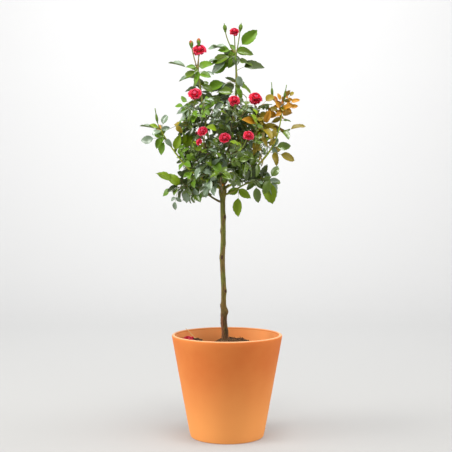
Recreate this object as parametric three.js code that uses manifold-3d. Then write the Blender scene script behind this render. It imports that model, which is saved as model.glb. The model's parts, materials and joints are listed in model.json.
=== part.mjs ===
// A standard rose: a clear stem in a terracotta pot, grafted at the head into a crown of flowering canes.
// Millimetres, +Z up. The origin is the middle of the pot's flat underside, and the front looks along +Y.

import * as THREE from "three";
import { mergeVertices } from "three/addons/utils/BufferGeometryUtils.js";
import Module from "manifold-3d";

const wasm = await Module();
wasm.setup();

// Driving sizes

const gap = 0.3; // left between two pieces that touch
const pot = { height: 275, rimRadius: 150, footRadius: 99, wall: 9.5, floor: 12, round: 5, sides: 44 };
const soil = { edgeHeight: 240, moundHeight: 259, moundFlat: 34, moundFoot: 72 };
const trunk = {
  top: 682,
  headX: -12,
  leans: [-5.1, -9.4, -9.3, -12.3, -10.2, -11.4, -12], // from the foot to the top, evenly spaced
  footRadius: 11.5,
  lowRadius: 8.6, // below the lowest knuckle
  highRadius: 6.8,
  topRadius: 5,
  narrows: [325, 350], // the heights between which it gets thinner
  flareHeight: 14,
  sides: 10,
  rings: 22,
};
const graft = { height: 659, out: 4, half: 15 }; // the swelling where the canes leave the trunk
// Old cuts on the trunk: height, how far they stand out, bearing and half height.
const knuckles = [
  { height: 337, out: 5.5, bearing: 350, half: 11 },
  { height: 390, out: 1.6, bearing: 20, half: 9 },
  { height: 480, out: 1.4, bearing: 200, half: 9 },
  { height: 590, out: 1.5, bearing: 10, half: 9 },
];
// Shares: of a bough's radius at its tip, and of the way to its knee where it turns up.
const bough = { sides: 5, steps: 4, tipShare: 0.74, elbowOut: 0.62, elbowUp: 0.36 };
// Shares: of the bough's radius, of its own radius at its tip, and of its length where it turns up.
const stemShape = { sides: 4, steps: 4, thickShare: 0.72, tipShare: 0.7, bendAt: 0.45 };
// Shares: of the stem's length between the first and last twig, of its radius, and of its leaflets.
const twig = { sides: 3, steps: 2, firstAt: 0.05, lastAt: 0.8, thickShare: 0.62, leafShare: 0.92 };
const stalk = { radius: 1.5, tipShare: 0.8, firstRoot: 0.99, rootStep: 0.07 };
const leaf = {
  usual: 34, // a leaflet's length that the next three sizes are for
  petiole: 14, // from the stem to the first pair of leaflets
  pairSpace: 19, // between pairs of leaflets
  lowDroop: 1.2, // how much a leaf hangs at the foot of its shoot and at the tip
  highDroop: -0.15,
  turns: [0, 50, -50, 100, -100, 150, -150], // a leaf turns this far to where there is room
  smaller: 0.8, // and then grows this much smaller
  lastSmaller: 0.86, // the leaves near a shoot's tip
  radius: 1.2, // of the leaf's own stalk
  widthShare: 0.6, // of a leaflet's length, and the same for the next four
  thickShare: 0.04,
  widestAt: 0.42,
  tipHang: 0.12,
  edgeHang: 0.06,
  endShare: 1.12, // the leaflet at the end, and how much each pair behind it is smaller
  pairShare: 1.02,
  pairStep: 0.1,
  pairAngle: 62,
  pairReach: 0.88, // how flat the side leaflets lie, and how far they fold down
  fold: 0.16,
};
const bloom = { radius: 17, height: 23, sides: 6 };
const smallBloom = { radius: 12, height: 20, sides: 6 };
const bud = { radius: 5.5, height: 21, sides: 5 };
const youngBud = { radius: 3, height: 30, sides: 4 };
const spaceMargin = 1; // each mass keeps this far from the border of its neighbour's space
const limbMargin = 1.5; // leaves keep this far from limbs
const seed = 24;

// Every cane has a bough, bare from its parent to its knee, and a leafy stem from the knee to the tip.
// A place is [bearing in degrees, reach from the trunk's head, height]. Bearing 0 is right, 90 back,
// 180 left and 270 front. From is where the bough leaves its parent: a height on the trunk, or a share
// of the parent's length. The stem has leaves of its own and side twigs with twigLeaves each. Size is a
// leaflet's length, and pairs is how many pairs of leaflets a leaf has. A flower is
// [kind, bearing, sideways reach, rise], both from the tip of the stem.
const leafy = {
  parent: "trunk",
  radius: 2.6,
  leaves: 6,
  twigs: 3,
  twigLeaves: 3,
  twigLength: 50,
  size: 39,
  pairs: 1,
};
const canes = [
  {
    ...leafy, name: "tall_centre", from: 676, knee: [19, 36, 892], tip: [17, 35, 1036], radius: 3.6,
    leaves: 10, twigs: 0, size: 45,
    flowers: [["small", 0, 0, 46], ["bud", 195, 30, 58], ["bud", 340, 17, 60]],
  },
  {
    ...leafy, name: "tall_left", from: 674, knee: [186, 50, 868], tip: [190, 68, 990], radius: 3.4,
    leaves: 9, twigs: 0, size: 42, flowers: [["bloom", 350, 7, 44], ["bud", 188, 20, 60], ["bud", 20, 4, 66]],
  },
  {
    ...leafy, name: "left_long", from: 664, knee: [199, 104, 728], tip: [197, 170, 820], radius: 3.4,
    leaves: 8, twigs: 1, twigLength: 46, size: 34, flowers: [["spike", 190, 22, 46]],
  },
  {
    ...leafy, name: "right_long", from: 665, knee: [9, 122, 758], tip: [10, 162, 886], radius: 3.6,
    leaves: 10, twigs: 1, twigLength: 44, size: 32, flowers: [["spike", 200, 36, 58], ["spike", 10, 6, 48]],
  },
  {
    ...leafy, name: "back_long", from: 672, knee: [84, 92, 726], tip: [84, 170, 790], radius: 3.2,
    twigs: 2, size: 36, flowers: [["spike", 80, 14, 44]],
  },
  {
    ...leafy, name: "low_left", from: 628, knee: [184, 44, 656], tip: [188, 122, 668], radius: 3,
    leaves: 8, flowers: [],
  },
  {
    ...leafy, name: "low_right", from: 648, knee: [345, 42, 666], tip: [354, 128, 688], radius: 3.1,
    leaves: 8, twigs: 2, size: 42, flowers: [],
  },
  {
    ...leafy, name: "front_left", from: 670, knee: [238, 36, 706], tip: [243, 108, 772],
    flowers: [["bloom", 215, 16, 34], ["small", 200, 26, 10]],
  },
  {
    ...leafy, name: "front_right", from: 670, knee: [302, 36, 704], tip: [299, 106, 768],
    flowers: [["bloom", 330, 20, 28], ["bloom", 190, 42, 24]],
  },
  {
    ...leafy, name: "low_front", from: 655, knee: [266, 54, 674], tip: [268, 128, 684], radius: 3,
    flowers: [],
  },
  {
    ...leafy, name: "left", parent: "left_long", from: 0.42, knee: [168, 58, 712], tip: [161, 116, 776],
    flowers: [],
  },
  {
    ...leafy, name: "back_left", from: 660, knee: [126, 46, 712], tip: [126, 116, 790],
    flowers: [["bloom", 130, 6, 28]],
  },
  {
    ...leafy, name: "back_right", parent: "right_long", from: 0.2, knee: [46, 56, 714], tip: [44, 116, 790],
    flowers: [["bloom", 50, 6, 28]],
  },
  {
    ...leafy, name: "right_bronze", parent: "right_long", from: 0.55, knee: [338, 86, 742],
    tip: [338, 118, 830], size: 33, flowers: [],
  },
  {
    ...leafy, name: "upper_left", parent: "tall_left", from: 0.36, knee: [214, 58, 786], tip: [206, 84, 884],
    flowers: [["bloom", 200, 2, 24]],
  },
  {
    ...leafy, name: "upper_right", parent: "tall_centre", from: 0.36, knee: [354, 58, 782], tip: [352, 88, 872],
    flowers: [["bloom", 0, 2, 28]],
  },
  {
    ...leafy, name: "upper_front", parent: "tall_centre", from: 0.24, knee: [290, 48, 766], tip: [296, 62, 864],
    flowers: [["bloom", 300, 2, 26]],
  },
  {
    ...leafy, name: "upper_back", parent: "tall_left", from: 0.4, knee: [98, 40, 790], tip: [92, 62, 888],
    flowers: [["bud", 40, 20, 34], ["bud", 120, 6, 38]],
  },
];

const colours = {
  terracotta: 0xdf8746,
  compost: 0x4a3526,
  bark: 0x76733a,
  greenCane: 0x6f7f35,
  rustCane: 0x7b6a35,
  greenLeaf: 0x4c6b2c,
  freshLeaf: 0x7c9a2a,
  bronzeLeaf: 0xa86a22,
};

const up = new THREE.Vector3(0, 0, 1);
const radians = THREE.MathUtils.degToRad;
const goldenTurn = 137.5;

// Numbers from 0 to 1 that depend only on their keys, so the plant grows the same way each time.
function chance(...keys) {
  let mix = seed;
  for (const key of keys) {
    mix = Math.imul(mix ^ (key + 0x9e3779b9), 0x85ebca6b);
    mix ^= mix >>> 13;
    mix = Math.imul(mix, 0xc2b2ae35);
    mix ^= mix >>> 16;
  }
  return (mix >>> 0) / 4294967296;
}

function between(low, high, ...keys) {
  return low + (high - low) * chance(...keys);
}

function place([bearing, reach, height]) {
  const turn = radians(bearing);
  return new THREE.Vector3(trunk.headX + reach * Math.cos(turn), reach * Math.sin(turn), height);
}

// The unit vector at a bearing, at right angles to a stem that runs along the given direction.
function outward(bearing, along) {
  const turn = radians(bearing);
  const rise = 0.35;
  const out = new THREE.Vector3(Math.cos(turn), Math.sin(turn), rise);
  return out.addScaledVector(along, -out.dot(along)).normalize();
}

// Solids

function solidOf(geometry) {
  geometry.deleteAttribute("normal");
  geometry.deleteAttribute("uv");
  const merged = mergeVertices(geometry, 1e-4);
  return new wasm.Manifold(
    new wasm.Mesh({
      numProp: 3,
      vertProperties: merged.attributes.position.array,
      triVerts: new Uint32Array(merged.index.array),
    }),
  );
}

function geometryOf(solid) {
  const mesh = solid.getMesh();
  return new THREE.BufferGeometry()
    .setAttribute("position", new THREE.BufferAttribute(mesh.vertProperties, 3))
    .setIndex(new THREE.BufferAttribute(mesh.triVerts, 1));
}

// The one body of a fused solid: scraps are dropped and sealed hollows are filled.
function mainBody(solid) {
  return solid.decompose().reduce((most, body) => (body.volume() > most.volume() ? body : most));
}

function fuse(solids) {
  const tidy = 0.08;
  return mainBody(wasm.Manifold.union(solids)).simplify(tidy);
}

// A closed tapering tube along a curve.
function limb(curve, radius, tipRadius, { sides, steps }) {
  const geometry = new THREE.CylinderGeometry(1, 1, 1, sides, steps);
  const position = geometry.attributes.position;
  const frames = curve.computeFrenetFrames(steps);
  const point = new THREE.Vector3();
  for (let i = 0; i < position.count; i++) {
    point.fromBufferAttribute(position, i);
    const share = point.y + 0.5;
    const step = Math.round(share * steps);
    const reach = THREE.MathUtils.lerp(radius, tipRadius, share);
    const placed = curve
      .getPointAt(share)
      .addScaledVector(frames.normals[step], -point.x * reach)
      .addScaledVector(frames.binormals[step], point.z * reach);
    position.setXYZ(i, placed.x, placed.y, placed.z);
  }
  return solidOf(geometry);
}

// A point inside the straight-sided tube that stands for a curve.
function insideLimb(curve, { steps }, share) {
  const step = Math.min(Math.floor(share * steps), steps - 1);
  const start = curve.getPointAt(step / steps);
  return start.lerp(curve.getPointAt((step + 1) / steps), share * steps - step);
}

// Pot, compost and trunk

function potProfile() {
  const { height, rimRadius, footRadius, wall, floor, round } = pot;
  const slope = (rimRadius - footRadius) / height;
  const rimRound = wall / 2;
  const outline = new THREE.Path();
  outline.moveTo(0, 0);
  outline.lineTo(footRadius - round, 0);
  outline.quadraticCurveTo(footRadius, 0, footRadius + slope * round, round);
  outline.lineTo(rimRadius - slope * rimRound, height - rimRound);
  outline.quadraticCurveTo(rimRadius, height, rimRadius - rimRound, height);
  outline.quadraticCurveTo(rimRadius - wall, height, rimRadius - wall - slope * rimRound, height - rimRound);
  outline.lineTo(footRadius - wall + slope * floor, floor);
  outline.lineTo(0, floor);
  return outline.getPoints(2);
}

function soilProfile() {
  const { edgeHeight, moundHeight, moundFlat, moundFoot } = soil;
  const slope = (pot.rimRadius - pot.footRadius) / pot.height;
  const wallAt = (height) => pot.footRadius - pot.wall + slope * height - gap;
  const floor = pot.floor + gap;
  const outline = new THREE.Path();
  outline.moveTo(0, floor);
  outline.lineTo(wallAt(floor), floor);
  outline.lineTo(wallAt(edgeHeight), edgeHeight);
  outline.lineTo(moundFoot, edgeHeight);
  outline.lineTo(moundFlat, moundHeight);
  outline.lineTo(0, moundHeight);
  return outline.getPoints(1);
}

function turned(profile, sides) {
  const geometry = new THREE.LatheGeometry(profile, sides);
  geometry.rotateX(Math.PI / 2);
  return solidOf(geometry);
}

const trunkFoot = soil.moundHeight + gap;
const trunkCurve = new THREE.CatmullRomCurve3(
  trunk.leans.map((x, i) => {
    const share = i / (trunk.leans.length - 1);
    return new THREE.Vector3(x, 0.6 * Math.sin(3 * i), THREE.MathUtils.lerp(trunkFoot, trunk.top, share));
  }),
);

function bump(away, half) {
  return Math.exp(-((away / half) ** 2));
}

function trunkRadius(height, angle) {
  const { smoothstep, lerp } = THREE.MathUtils;
  const flare = (trunk.footRadius - trunk.lowRadius) * Math.exp((trunkFoot - height) / trunk.flareHeight);
  const shaft = lerp(trunk.lowRadius, trunk.highRadius, smoothstep(height, ...trunk.narrows));
  const taper = lerp(shaft, trunk.topRadius, smoothstep(height, graft.height, trunk.top));
  let radius = taper + flare + graft.out * bump(height - graft.height, graft.half);
  for (const knuckle of knuckles) {
    const facing = Math.max(0, Math.cos(angle - radians(knuckle.bearing)));
    radius += knuckle.out * bump(height - knuckle.height, knuckle.half) * facing ** 2;
  }
  return radius;
}

// The trunk is nearly upright, so its rings are level, and its foot and top are flat cuts.
function trunkSolid(extra) {
  const { sides, rings, top } = trunk;
  const geometry = new THREE.CylinderGeometry(1, 1, top - trunkFoot, sides, rings);
  geometry.rotateX(Math.PI / 2).translate(0, 0, (top + trunkFoot) / 2);
  const position = geometry.attributes.position;
  const point = new THREE.Vector3();
  for (let i = 0; i < position.count; i++) {
    point.fromBufferAttribute(position, i);
    const centre = trunkAt(point.z);
    const radius = trunkRadius(point.z, Math.atan2(point.y, point.x)) + extra;
    position.setXYZ(i, centre.x + point.x * radius, centre.y + point.y * radius, point.z);
  }
  return solidOf(geometry);
}

function trunkAt(height) {
  const share = (height - trunkFoot) / (trunk.top - trunkFoot);
  return trunkCurve.getPoint(THREE.MathUtils.clamp(share, 0, 1)).setZ(height);
}

// Canes: the bough's curve and the leafy stem's curve

function caneCurves() {
  const made = new Map();
  for (const cane of canes) {
    const parent = made.get(cane.parent);
    const start = parent ? parent.bough.getPointAt(cane.from) : trunkAt(cane.from);
    const knee = place(cane.knee);
    const tip = place(cane.tip);
    const step = knee.clone().sub(start);
    // A cane first leans out and then turns up, more so the further out it reaches.
    step.multiply(new THREE.Vector3(bough.elbowOut, bough.elbowOut, bough.elbowUp));
    const elbow = start.clone().add(step);
    const boughCurve = new THREE.QuadraticBezierCurve3(start, elbow, knee);
    const heading = boughCurve.getTangentAt(1);
    const root = knee.clone().addScaledVector(heading, gap);
    const bend = root.clone().addScaledVector(heading, root.distanceTo(tip) * stemShape.bendAt);
    made.set(cane.name, { bough: boughCurve, stem: new THREE.QuadraticBezierCurve3(root, bend, tip) });
  }
  return made;
}

const curves = caneCurves();

// Distances from limbs and stems, taken along short straight steps

function stepsOf(curve, count) {
  const points = curve.getSpacedPoints(count);
  return points.slice(1).map((point, i) => new THREE.Line3(points[i], point));
}

function distanceTo(lines, point) {
  const near = new THREE.Vector3();
  let least = Infinity;
  for (const line of lines) {
    line.closestPointToPoint(point, true, near);
    least = Math.min(least, near.distanceTo(point));
  }
  return least;
}

const limbs = [
  { lines: stepsOf(trunkCurve, 12), radius: trunk.highRadius + graft.out },
  ...canes.map((cane) => ({ lines: stepsOf(curves.get(cane.name).bough, 8), radius: cane.radius })),
];
const stems = canes.map((cane) => stepsOf(curves.get(cane.name).stem, 6));

// A point is free for a mass when it is nearer that mass's stem than any other and clear of every limb.
function isFree(index, point) {
  if (limbs.some((one) => distanceTo(one.lines, point) < one.radius + limbMargin)) return false;
  const own = distanceTo(stems[index], point) + 2 * spaceMargin;
  return stems.every((lines, other) => other === index || distanceTo(lines, point) > own);
}

// Places the points of a shape in its own axes where it grows, with its length along one direction.
function settled(points, root, along, facing) {
  const side = new THREE.Vector3().crossVectors(facing, along).normalize();
  const normal = new THREE.Vector3().crossVectors(along, side);
  const frame = new THREE.Matrix4().makeBasis(along, side, normal).setPosition(root);
  return points.map((point) => point.clone().applyMatrix4(frame));
}

// The leaflets of a leaf in its own axes, with the stalk along +X: up its right side, the one at the end,
// and back down its left side.
function leafletPlan(length, size, pairs, keys) {
  const plan = [];
  for (let pair = pairs; pair >= -pairs; pair--) {
    const back = Math.abs(pair);
    const scale = back ? leaf.pairShare - leaf.pairStep * back : leaf.endShare;
    plan.push({
      x: length - back * leaf.pairSpace * (size / leaf.usual),
      y: -Math.sign(pair) * leaf.radius,
      turn: -Math.sign(pair) * radians(leaf.pairAngle),
      long: size * scale * between(0.88, 1.1, ...keys, 6 + pair),
    });
  }
  return plan;
}

// The rim of one leaflet, from one side of its root round its tip to the other, and its raised middle.
function leafletPoints({ x, y, turn, long }) {
  const { widestAt, edgeHang, tipHang, thickShare } = leaf;
  const width = (long * leaf.widthShare) / 2;
  const base = leaf.radius * 0.8;
  const points = [
    [0, -base, 0],
    [long * widestAt, -width, -edgeHang * long],
    [long, 0, -tipHang * long],
    [long * widestAt, width, -edgeHang * long],
    [0, base, 0],
    [long * (widestAt - thickShare), 0, thickShare * long],
  ];
  return points.map(([u, v, z]) => {
    const out = v * Math.cos(turn) + u * Math.sin(turn) * leaf.pairReach;
    const on = x + u * Math.cos(turn) - v * Math.sin(turn);
    return new THREE.Vector3(on, y + out, z - leaf.fold * Math.abs(out));
  });
}

// A whole leaf as one closed shell, in its own axes. Its stalk is three-sided, with the ridge on top.
function leafShell(length, leaflets) {
  const points = [];
  const faces = [];
  const add = (x, y, z) => points.push(new THREE.Vector3(x, y, z)) - 1;
  const ridges = new Map();
  const ridgeAt = (x) => {
    if (!ridges.has(x)) ridges.set(x, add(x, 0, leaf.radius));
    return ridges.get(x);
  };
  // The points round the stalk that the ridge sees, each with the ridge's point beside it.
  const seen = [{ point: add(0, -leaf.radius, 0), ridge: ridgeAt(0) }];
  const rim = [seen[0].point];
  for (const leaflet of leaflets) {
    const ridge = ridgeAt(leaflet.x);
    const [first, right, tip, left, last, middle] = leafletPoints(leaflet).map((at) => add(...at));
    rim.push(first, last);
    seen.push({ point: first, ridge });
    if (leaflet.grows) {
      seen.push({ point: middle, ridge });
      faces.push([first, right, middle], [right, tip, middle], [tip, left, middle], [left, last, middle]);
      faces.push([left, tip, right], [left, right, first], [last, left, first]);
    }
    seen.push({ point: last, ridge });
  }
  seen.push({ point: add(0, leaf.radius, 0), ridge: ridgeAt(0) });
  rim.push(seen.at(-1).point);
  seen.forEach((from, i) => {
    const to = seen[(i + 1) % seen.length];
    faces.push([from.point, to.point, from.ridge]);
    if (to.ridge !== from.ridge) faces.push([to.point, to.ridge, from.ridge]);
  });
  for (let i = 0; i < rim.length / 2 - 1; i++) {
    const across = rim.length - 1 - i;
    faces.push([rim[i + 1], rim[i], rim[across]], [rim[across - 1], rim[i + 1], rim[across]]);
  }
  return { points, faces };
}

// Whether a solid runs through one of the others.
function crosses(solid, others) {
  return others.some((other) => other.intersect(solid).volume() > 0.02);
}

// The trunk and every bough, each grown by the gap.
const sleeves = [
  trunkSolid(gap),
  ...canes.map((cane) => {
    const spare = gap * 1.25;
    return limb(curves.get(cane.name).bough, cane.radius + spare, cane.radius * bough.tipShare + spare, bough);
  }),
];

// A bough's foot fits round its parent, and every earlier limb near it, with the gap between.
function boughSolid(cane, index) {
  let solid = limb(curves.get(cane.name).bough, cane.radius, cane.radius * bough.tipShare, bough);
  for (const sleeve of sleeves.slice(0, index + 1)) solid = solid.subtract(sleeve);
  return mainBody(solid).simplify(0.02);
}

// One leaf of a rose: a hanging stalk with pairs of leaflets and one at the end. Leaflets that have no
// room are left off, and the whole leaf is when too few are left.
function growLeaf(mass, shoot, keys, share, bearing, size) {
  const { pairs } = shoot;
  const root = insideLimb(shoot.curve, shoot.shape, share);
  const along = shoot.curve.getTangentAt(share);
  const out = outward(bearing, along);
  const length = (leaf.petiole + leaf.pairSpace * pairs) * (size / leaf.usual);
  const lean = radians(between(48, 72, ...keys, 1));
  const droop = THREE.MathUtils.lerp(leaf.lowDroop, leaf.highDroop, share) + between(-0.35, 0.35, ...keys, 2);
  const aim = along
    .clone()
    .multiplyScalar(Math.cos(lean))
    .addScaledVector(out, Math.sin(lean))
    .addScaledVector(up, -droop)
    .normalize();
  if (![0.5, 1].every((part) => isFree(mass.index, root.clone().addScaledVector(aim, part * length)))) {
    return false;
  }
  const facing = new THREE.Vector3(
    between(-0.5, 0.5, ...keys, 3),
    between(-0.5, 0.5, ...keys, 4),
    between(-0.25, 0.25, ...keys, 5),
  );
  facing.addScaledVector(up, 0.4).addScaledVector(out, 0.9);
  const leaflets = leafletPlan(length, size, pairs, keys);
  for (const leaflet of leaflets) {
    const rim = settled(leafletPoints(leaflet).slice(1, 4), root, aim, facing);
    leaflet.grows = rim.every((point) => isFree(mass.index, point));
  }
  if (!leaflets[pairs].grows || leaflets.filter((one) => one.grows).length < 1 + pairs) return false;
  const shell = leafShell(length, leaflets);
  const geometry = new THREE.BufferGeometry()
    .setFromPoints(settled(shell.points, root, aim, facing))
    .setIndex(shell.faces.flat());
  const solid = solidOf(geometry);
  if (crosses(solid, [...sleeves, ...mass.grown.filter((other) => other !== shoot.solid)])) return false;
  mass.grown.push(solid);
  return true;
}

// An open bloom is a low cup, and a bud a slim drop.
function bloomProfile({ radius, height }) {
  return [
    [0, -height * 0.46],
    [radius, height * 0.05],
    [radius * 0.74, height * 0.5],
    [0, height * 0.44],
  ].map(([x, y]) => new THREE.Vector2(x, y));
}

function budProfile({ radius, height }) {
  return [
    [0, -height * 0.4],
    [radius, -height * 0.1],
    [0, height * 0.6],
  ].map(([x, y]) => new THREE.Vector2(x, y));
}

const flowerShapes = {
  bloom: { profile: bloomProfile(bloom), sides: bloom.sides },
  small: { profile: bloomProfile(smallBloom), sides: smallBloom.sides },
  bud: { profile: budProfile(bud), sides: bud.sides },
  spike: { profile: budProfile(youngBud), sides: youngBud.sides },
};

// A flower on its stalk: bearing, sideways reach and rise from the stem's tip to the flower's middle.
function growFlower(mass, [kind, bearing, reach, rise], stem, share) {
  const turn = radians(bearing);
  const root = insideLimb(stem, stemShape, share);
  const tip = stem.getPointAt(1);
  const middle = tip.clone().add(new THREE.Vector3(reach * Math.cos(turn), reach * Math.sin(turn), rise));
  const bend = tip.clone().addScaledVector(stem.getTangentAt(1), rise * 0.4);
  const spine = new THREE.QuadraticBezierCurve3(root, bend, middle);
  const { profile, sides } = flowerShapes[kind];
  const head = turned(profile, sides).rotate([0, 0, bearing]).translate([middle.x, middle.y, middle.z]);
  mass.grown.push(limb(spine, stalk.radius, stalk.radius * stalk.tipShare, twig), head);
}

// A leafy shoot: the stem or one twig, with leaves that turn round it by the golden angle.
function growShoot(mass, keys, shoot) {
  for (let j = 0; j < shoot.leaves; j++) {
    const share = (j + 0.6) / shoot.leaves;
    const bearing = 360 * chance(...keys, 90) + j * goldenTurn + between(-18, 18, ...keys, j, 91);
    const size = shoot.size * (share > 0.8 ? leaf.lastSmaller : 1);
    const grows = (turn, long) => growLeaf(mass, shoot, [...keys, j], share, bearing + turn, long);
    [size, size * leaf.smaller].some((long) => leaf.turns.some((turn) => grows(turn, long)));
  }
}

// A side twig, or none where there is no room for one.
function twigCurve(mass, k, cane, stem, turn) {
  const share = twig.firstAt + ((twig.lastAt - twig.firstAt) * (k - 0.5)) / cane.twigs;
  const root = insideLimb(stem, stemShape, share);
  const along = stem.getTangentAt(share);
  const bearing = 360 * chance(mass.index, k, 80) + k * goldenTurn + turn;
  const out = outward(bearing, along);
  const length = cane.twigLength * between(0.8, 1.15, mass.index, k, 81);
  const bend = root.clone().addScaledVector(out, length * 0.5).addScaledVector(along, length * 0.15);
  const end = root.clone().addScaledVector(out, length * 0.8).addScaledVector(along, length * 0.3);
  end.addScaledVector(up, length * 0.25);
  const curve = new THREE.QuadraticBezierCurve3(root, bend, end);
  return [0.3, 0.65, 1].every((at) => isFree(mass.index, curve.getPointAt(at))) ? curve : null;
}

// The mass of one cane: its stem with leaves, twigs and flowers, fused into one body.
function massSolid(cane, index) {
  const { stem } = curves.get(cane.name);
  const { leaves, twigLeaves, size, pairs } = cane;
  const thick = cane.radius * stemShape.thickShare;
  const mass = { index, grown: [] };
  const shoots = [{ curve: stem, shape: stemShape, thick, leaves, size, pairs }];
  for (let k = 1; k <= cane.twigs; k++) {
    const curve = leaf.turns.map((turn) => twigCurve(mass, k, cane, stem, turn)).find(Boolean);
    if (!curve) continue;
    shoots.push({
      curve,
      shape: twig,
      thick: thick * twig.thickShare,
      leaves: twigLeaves,
      size: size * twig.leafShare,
      pairs: 1,
    });
  }
  for (const shoot of shoots) {
    shoot.solid = limb(shoot.curve, shoot.thick, shoot.thick * stemShape.tipShare, shoot.shape);
    mass.grown.push(shoot.solid);
  }
  cane.flowers.forEach((flower, k) => growFlower(mass, flower, stem, stalk.firstRoot - k * stalk.rootStep));
  shoots.forEach((shoot, k) => growShoot(mass, [index, k], shoot));
  return fuse(mass.grown);
}

// The plant as a scene graph

const rose = new THREE.Group();

function addPiece(name, solid, colour, roughness) {
  const material = new THREE.MeshStandardMaterial({ color: colour, roughness, metalness: 0 });
  const mesh = new THREE.Mesh(geometryOf(solid), material);
  mesh.name = name;
  rose.add(mesh);
}

addPiece("pot", turned(potProfile(), pot.sides), colours.terracotta, 0.8);
addPiece("compost", turned(soilProfile(), pot.sides), colours.compost, 0.95);
addPiece("trunk", trunkSolid(0), colours.bark, 0.75);

const tints = {
  right_long: colours.bronzeLeaf,
  right_bronze: colours.bronzeLeaf,
  left_long: colours.freshLeaf,
};
canes.forEach((cane, index) => {
  const caneColour = cane.radius > 3 ? colours.greenCane : colours.rustCane;
  addPiece("bough_" + cane.name, boughSolid(cane, index), caneColour, 0.6);
  addPiece("mass_" + cane.name, massSolid(cane, index), tints[cane.name] ?? colours.greenLeaf, 0.5);
});

export default rose;
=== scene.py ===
import json
import math
import bpy
import numpy as np
from mathutils import Matrix, Vector, noise

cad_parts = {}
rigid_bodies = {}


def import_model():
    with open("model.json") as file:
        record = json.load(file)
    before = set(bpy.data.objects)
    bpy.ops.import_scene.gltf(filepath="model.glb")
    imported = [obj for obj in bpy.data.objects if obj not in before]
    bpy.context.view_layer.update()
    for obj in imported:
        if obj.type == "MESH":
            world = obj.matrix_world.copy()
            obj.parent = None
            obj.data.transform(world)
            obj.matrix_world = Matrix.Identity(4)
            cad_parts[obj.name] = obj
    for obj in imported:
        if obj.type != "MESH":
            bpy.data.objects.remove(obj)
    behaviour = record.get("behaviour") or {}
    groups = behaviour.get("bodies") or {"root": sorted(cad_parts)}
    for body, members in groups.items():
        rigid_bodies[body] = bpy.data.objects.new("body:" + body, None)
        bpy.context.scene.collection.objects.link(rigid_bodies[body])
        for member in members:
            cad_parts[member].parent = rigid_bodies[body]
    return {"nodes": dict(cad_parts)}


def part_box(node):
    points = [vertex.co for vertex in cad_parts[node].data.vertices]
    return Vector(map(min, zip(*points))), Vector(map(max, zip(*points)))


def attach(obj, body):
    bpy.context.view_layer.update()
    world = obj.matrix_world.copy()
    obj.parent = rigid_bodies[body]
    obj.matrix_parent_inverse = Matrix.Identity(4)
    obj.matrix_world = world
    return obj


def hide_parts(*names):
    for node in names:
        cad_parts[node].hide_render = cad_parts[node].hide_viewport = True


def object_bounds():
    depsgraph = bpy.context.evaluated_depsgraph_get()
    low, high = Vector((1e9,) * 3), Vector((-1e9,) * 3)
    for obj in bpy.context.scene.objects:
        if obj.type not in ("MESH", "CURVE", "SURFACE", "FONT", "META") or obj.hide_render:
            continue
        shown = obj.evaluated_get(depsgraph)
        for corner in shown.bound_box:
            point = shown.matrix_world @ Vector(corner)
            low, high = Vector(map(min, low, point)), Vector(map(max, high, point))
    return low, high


# A standard rose in a clay pot: turned pot, compost, barked trunk, and a crown grown by one seeded rule.
# Sizes in the dictionaries are in millimetres unless a note says otherwise. The front faces -Y.

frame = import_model()
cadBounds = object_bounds()
mm = 0.001
up = Vector((0, 0, 1))
goldenTurn = 137.5
growthSeed = 24
boughNodes = sorted(name for name in frame["nodes"] if name.startswith("bough_"))
massNodes = sorted(name for name in frame["nodes"] if name.startswith("mass_"))


# Seeded numbers from 0 to 1 that depend only on their keys.
def chance(*keys):
    whole = 0xFFFFFFFF
    mix = growthSeed
    for key in keys:
        mix = ((mix ^ ((key + 0x9E3779B9) & whole)) * 0x85EBCA6B) & whole
        mix ^= mix >> 13
        mix = (mix * 0xC2B2AE35) & whole
        mix ^= mix >> 16
    return mix / (whole + 1)


def between(low, high, *keys):
    return low + (high - low) * chance(*keys)


def mixed(low, high, share):
    return low + (high - low) * share


def smoothed(value, low, high):
    share = min(1, max(0, (value - low) / (high - low)))
    return share * share * (3 - 2 * share)


def sized(*values):
    return Vector(values) * mm


def polar(turn, reach=1.0):
    return reach * math.cos(turn), reach * math.sin(turn)


def wholeTurn(sides):
    return [2 * math.pi * k / sides for k in range(sides)]


def sheer(vector, along):
    return (vector - along * vector.dot(along)).normalized()


# Materials

def linear(hexText):
    parts = [int(hexText[i:i + 2], 16) / 255 for i in (1, 3, 5)]
    return tuple(c / 12.92 if c <= 0.04045 else ((c + 0.055) / 1.055) ** 2.4 for c in parts) + (1,)


# Adds a node and gives one of its outputs. A kind without its prefix is a shader node, and one with a space
# in it is the node of that name that is there already. A socket among the inputs is linked and anything else
# is set. Stops are the places and colours of a ramp.
def addNode(tree, kind, inputs=None, out=0, stops=(), **settings):
    if " " in kind:
        node = tree.nodes[kind]
    else:
        node = tree.nodes.new(kind if "Node" in kind else "ShaderNode" + kind)
    for name, value in settings.items():
        setattr(node, name, value)
    for name, value in (inputs or {}).items():
        if isinstance(value, bpy.types.NodeSocket):
            tree.links.new(value, node.inputs[name])
        else:
            node.inputs[name].default_value = value
    if stops:
        marks = node.color_ramp.elements
        while len(marks) < len(stops):
            marks.new(0.5)
        for mark, (position, colour) in zip(marks, stops):
            mark.position = position
            mark.color = linear(colour)
    return node.outputs[out] if len(node.outputs) else None


def newFinish(name, colour, roughness, shine=0.5, more=None):
    material = bpy.data.materials.new(name)
    material.use_nodes = True
    material.diffuse_color = linear(colour)
    inputs = {"Base Color": linear(colour), "Roughness": roughness, "Specular IOR Level": shine}
    addNode(material.node_tree, "Principled BSDF", inputs | (more or {}))
    return material, material.node_tree


softGrain = {"Detail": 3, "Roughness": 0.55}  # of a noise; its scale is one over the grain's size


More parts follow.
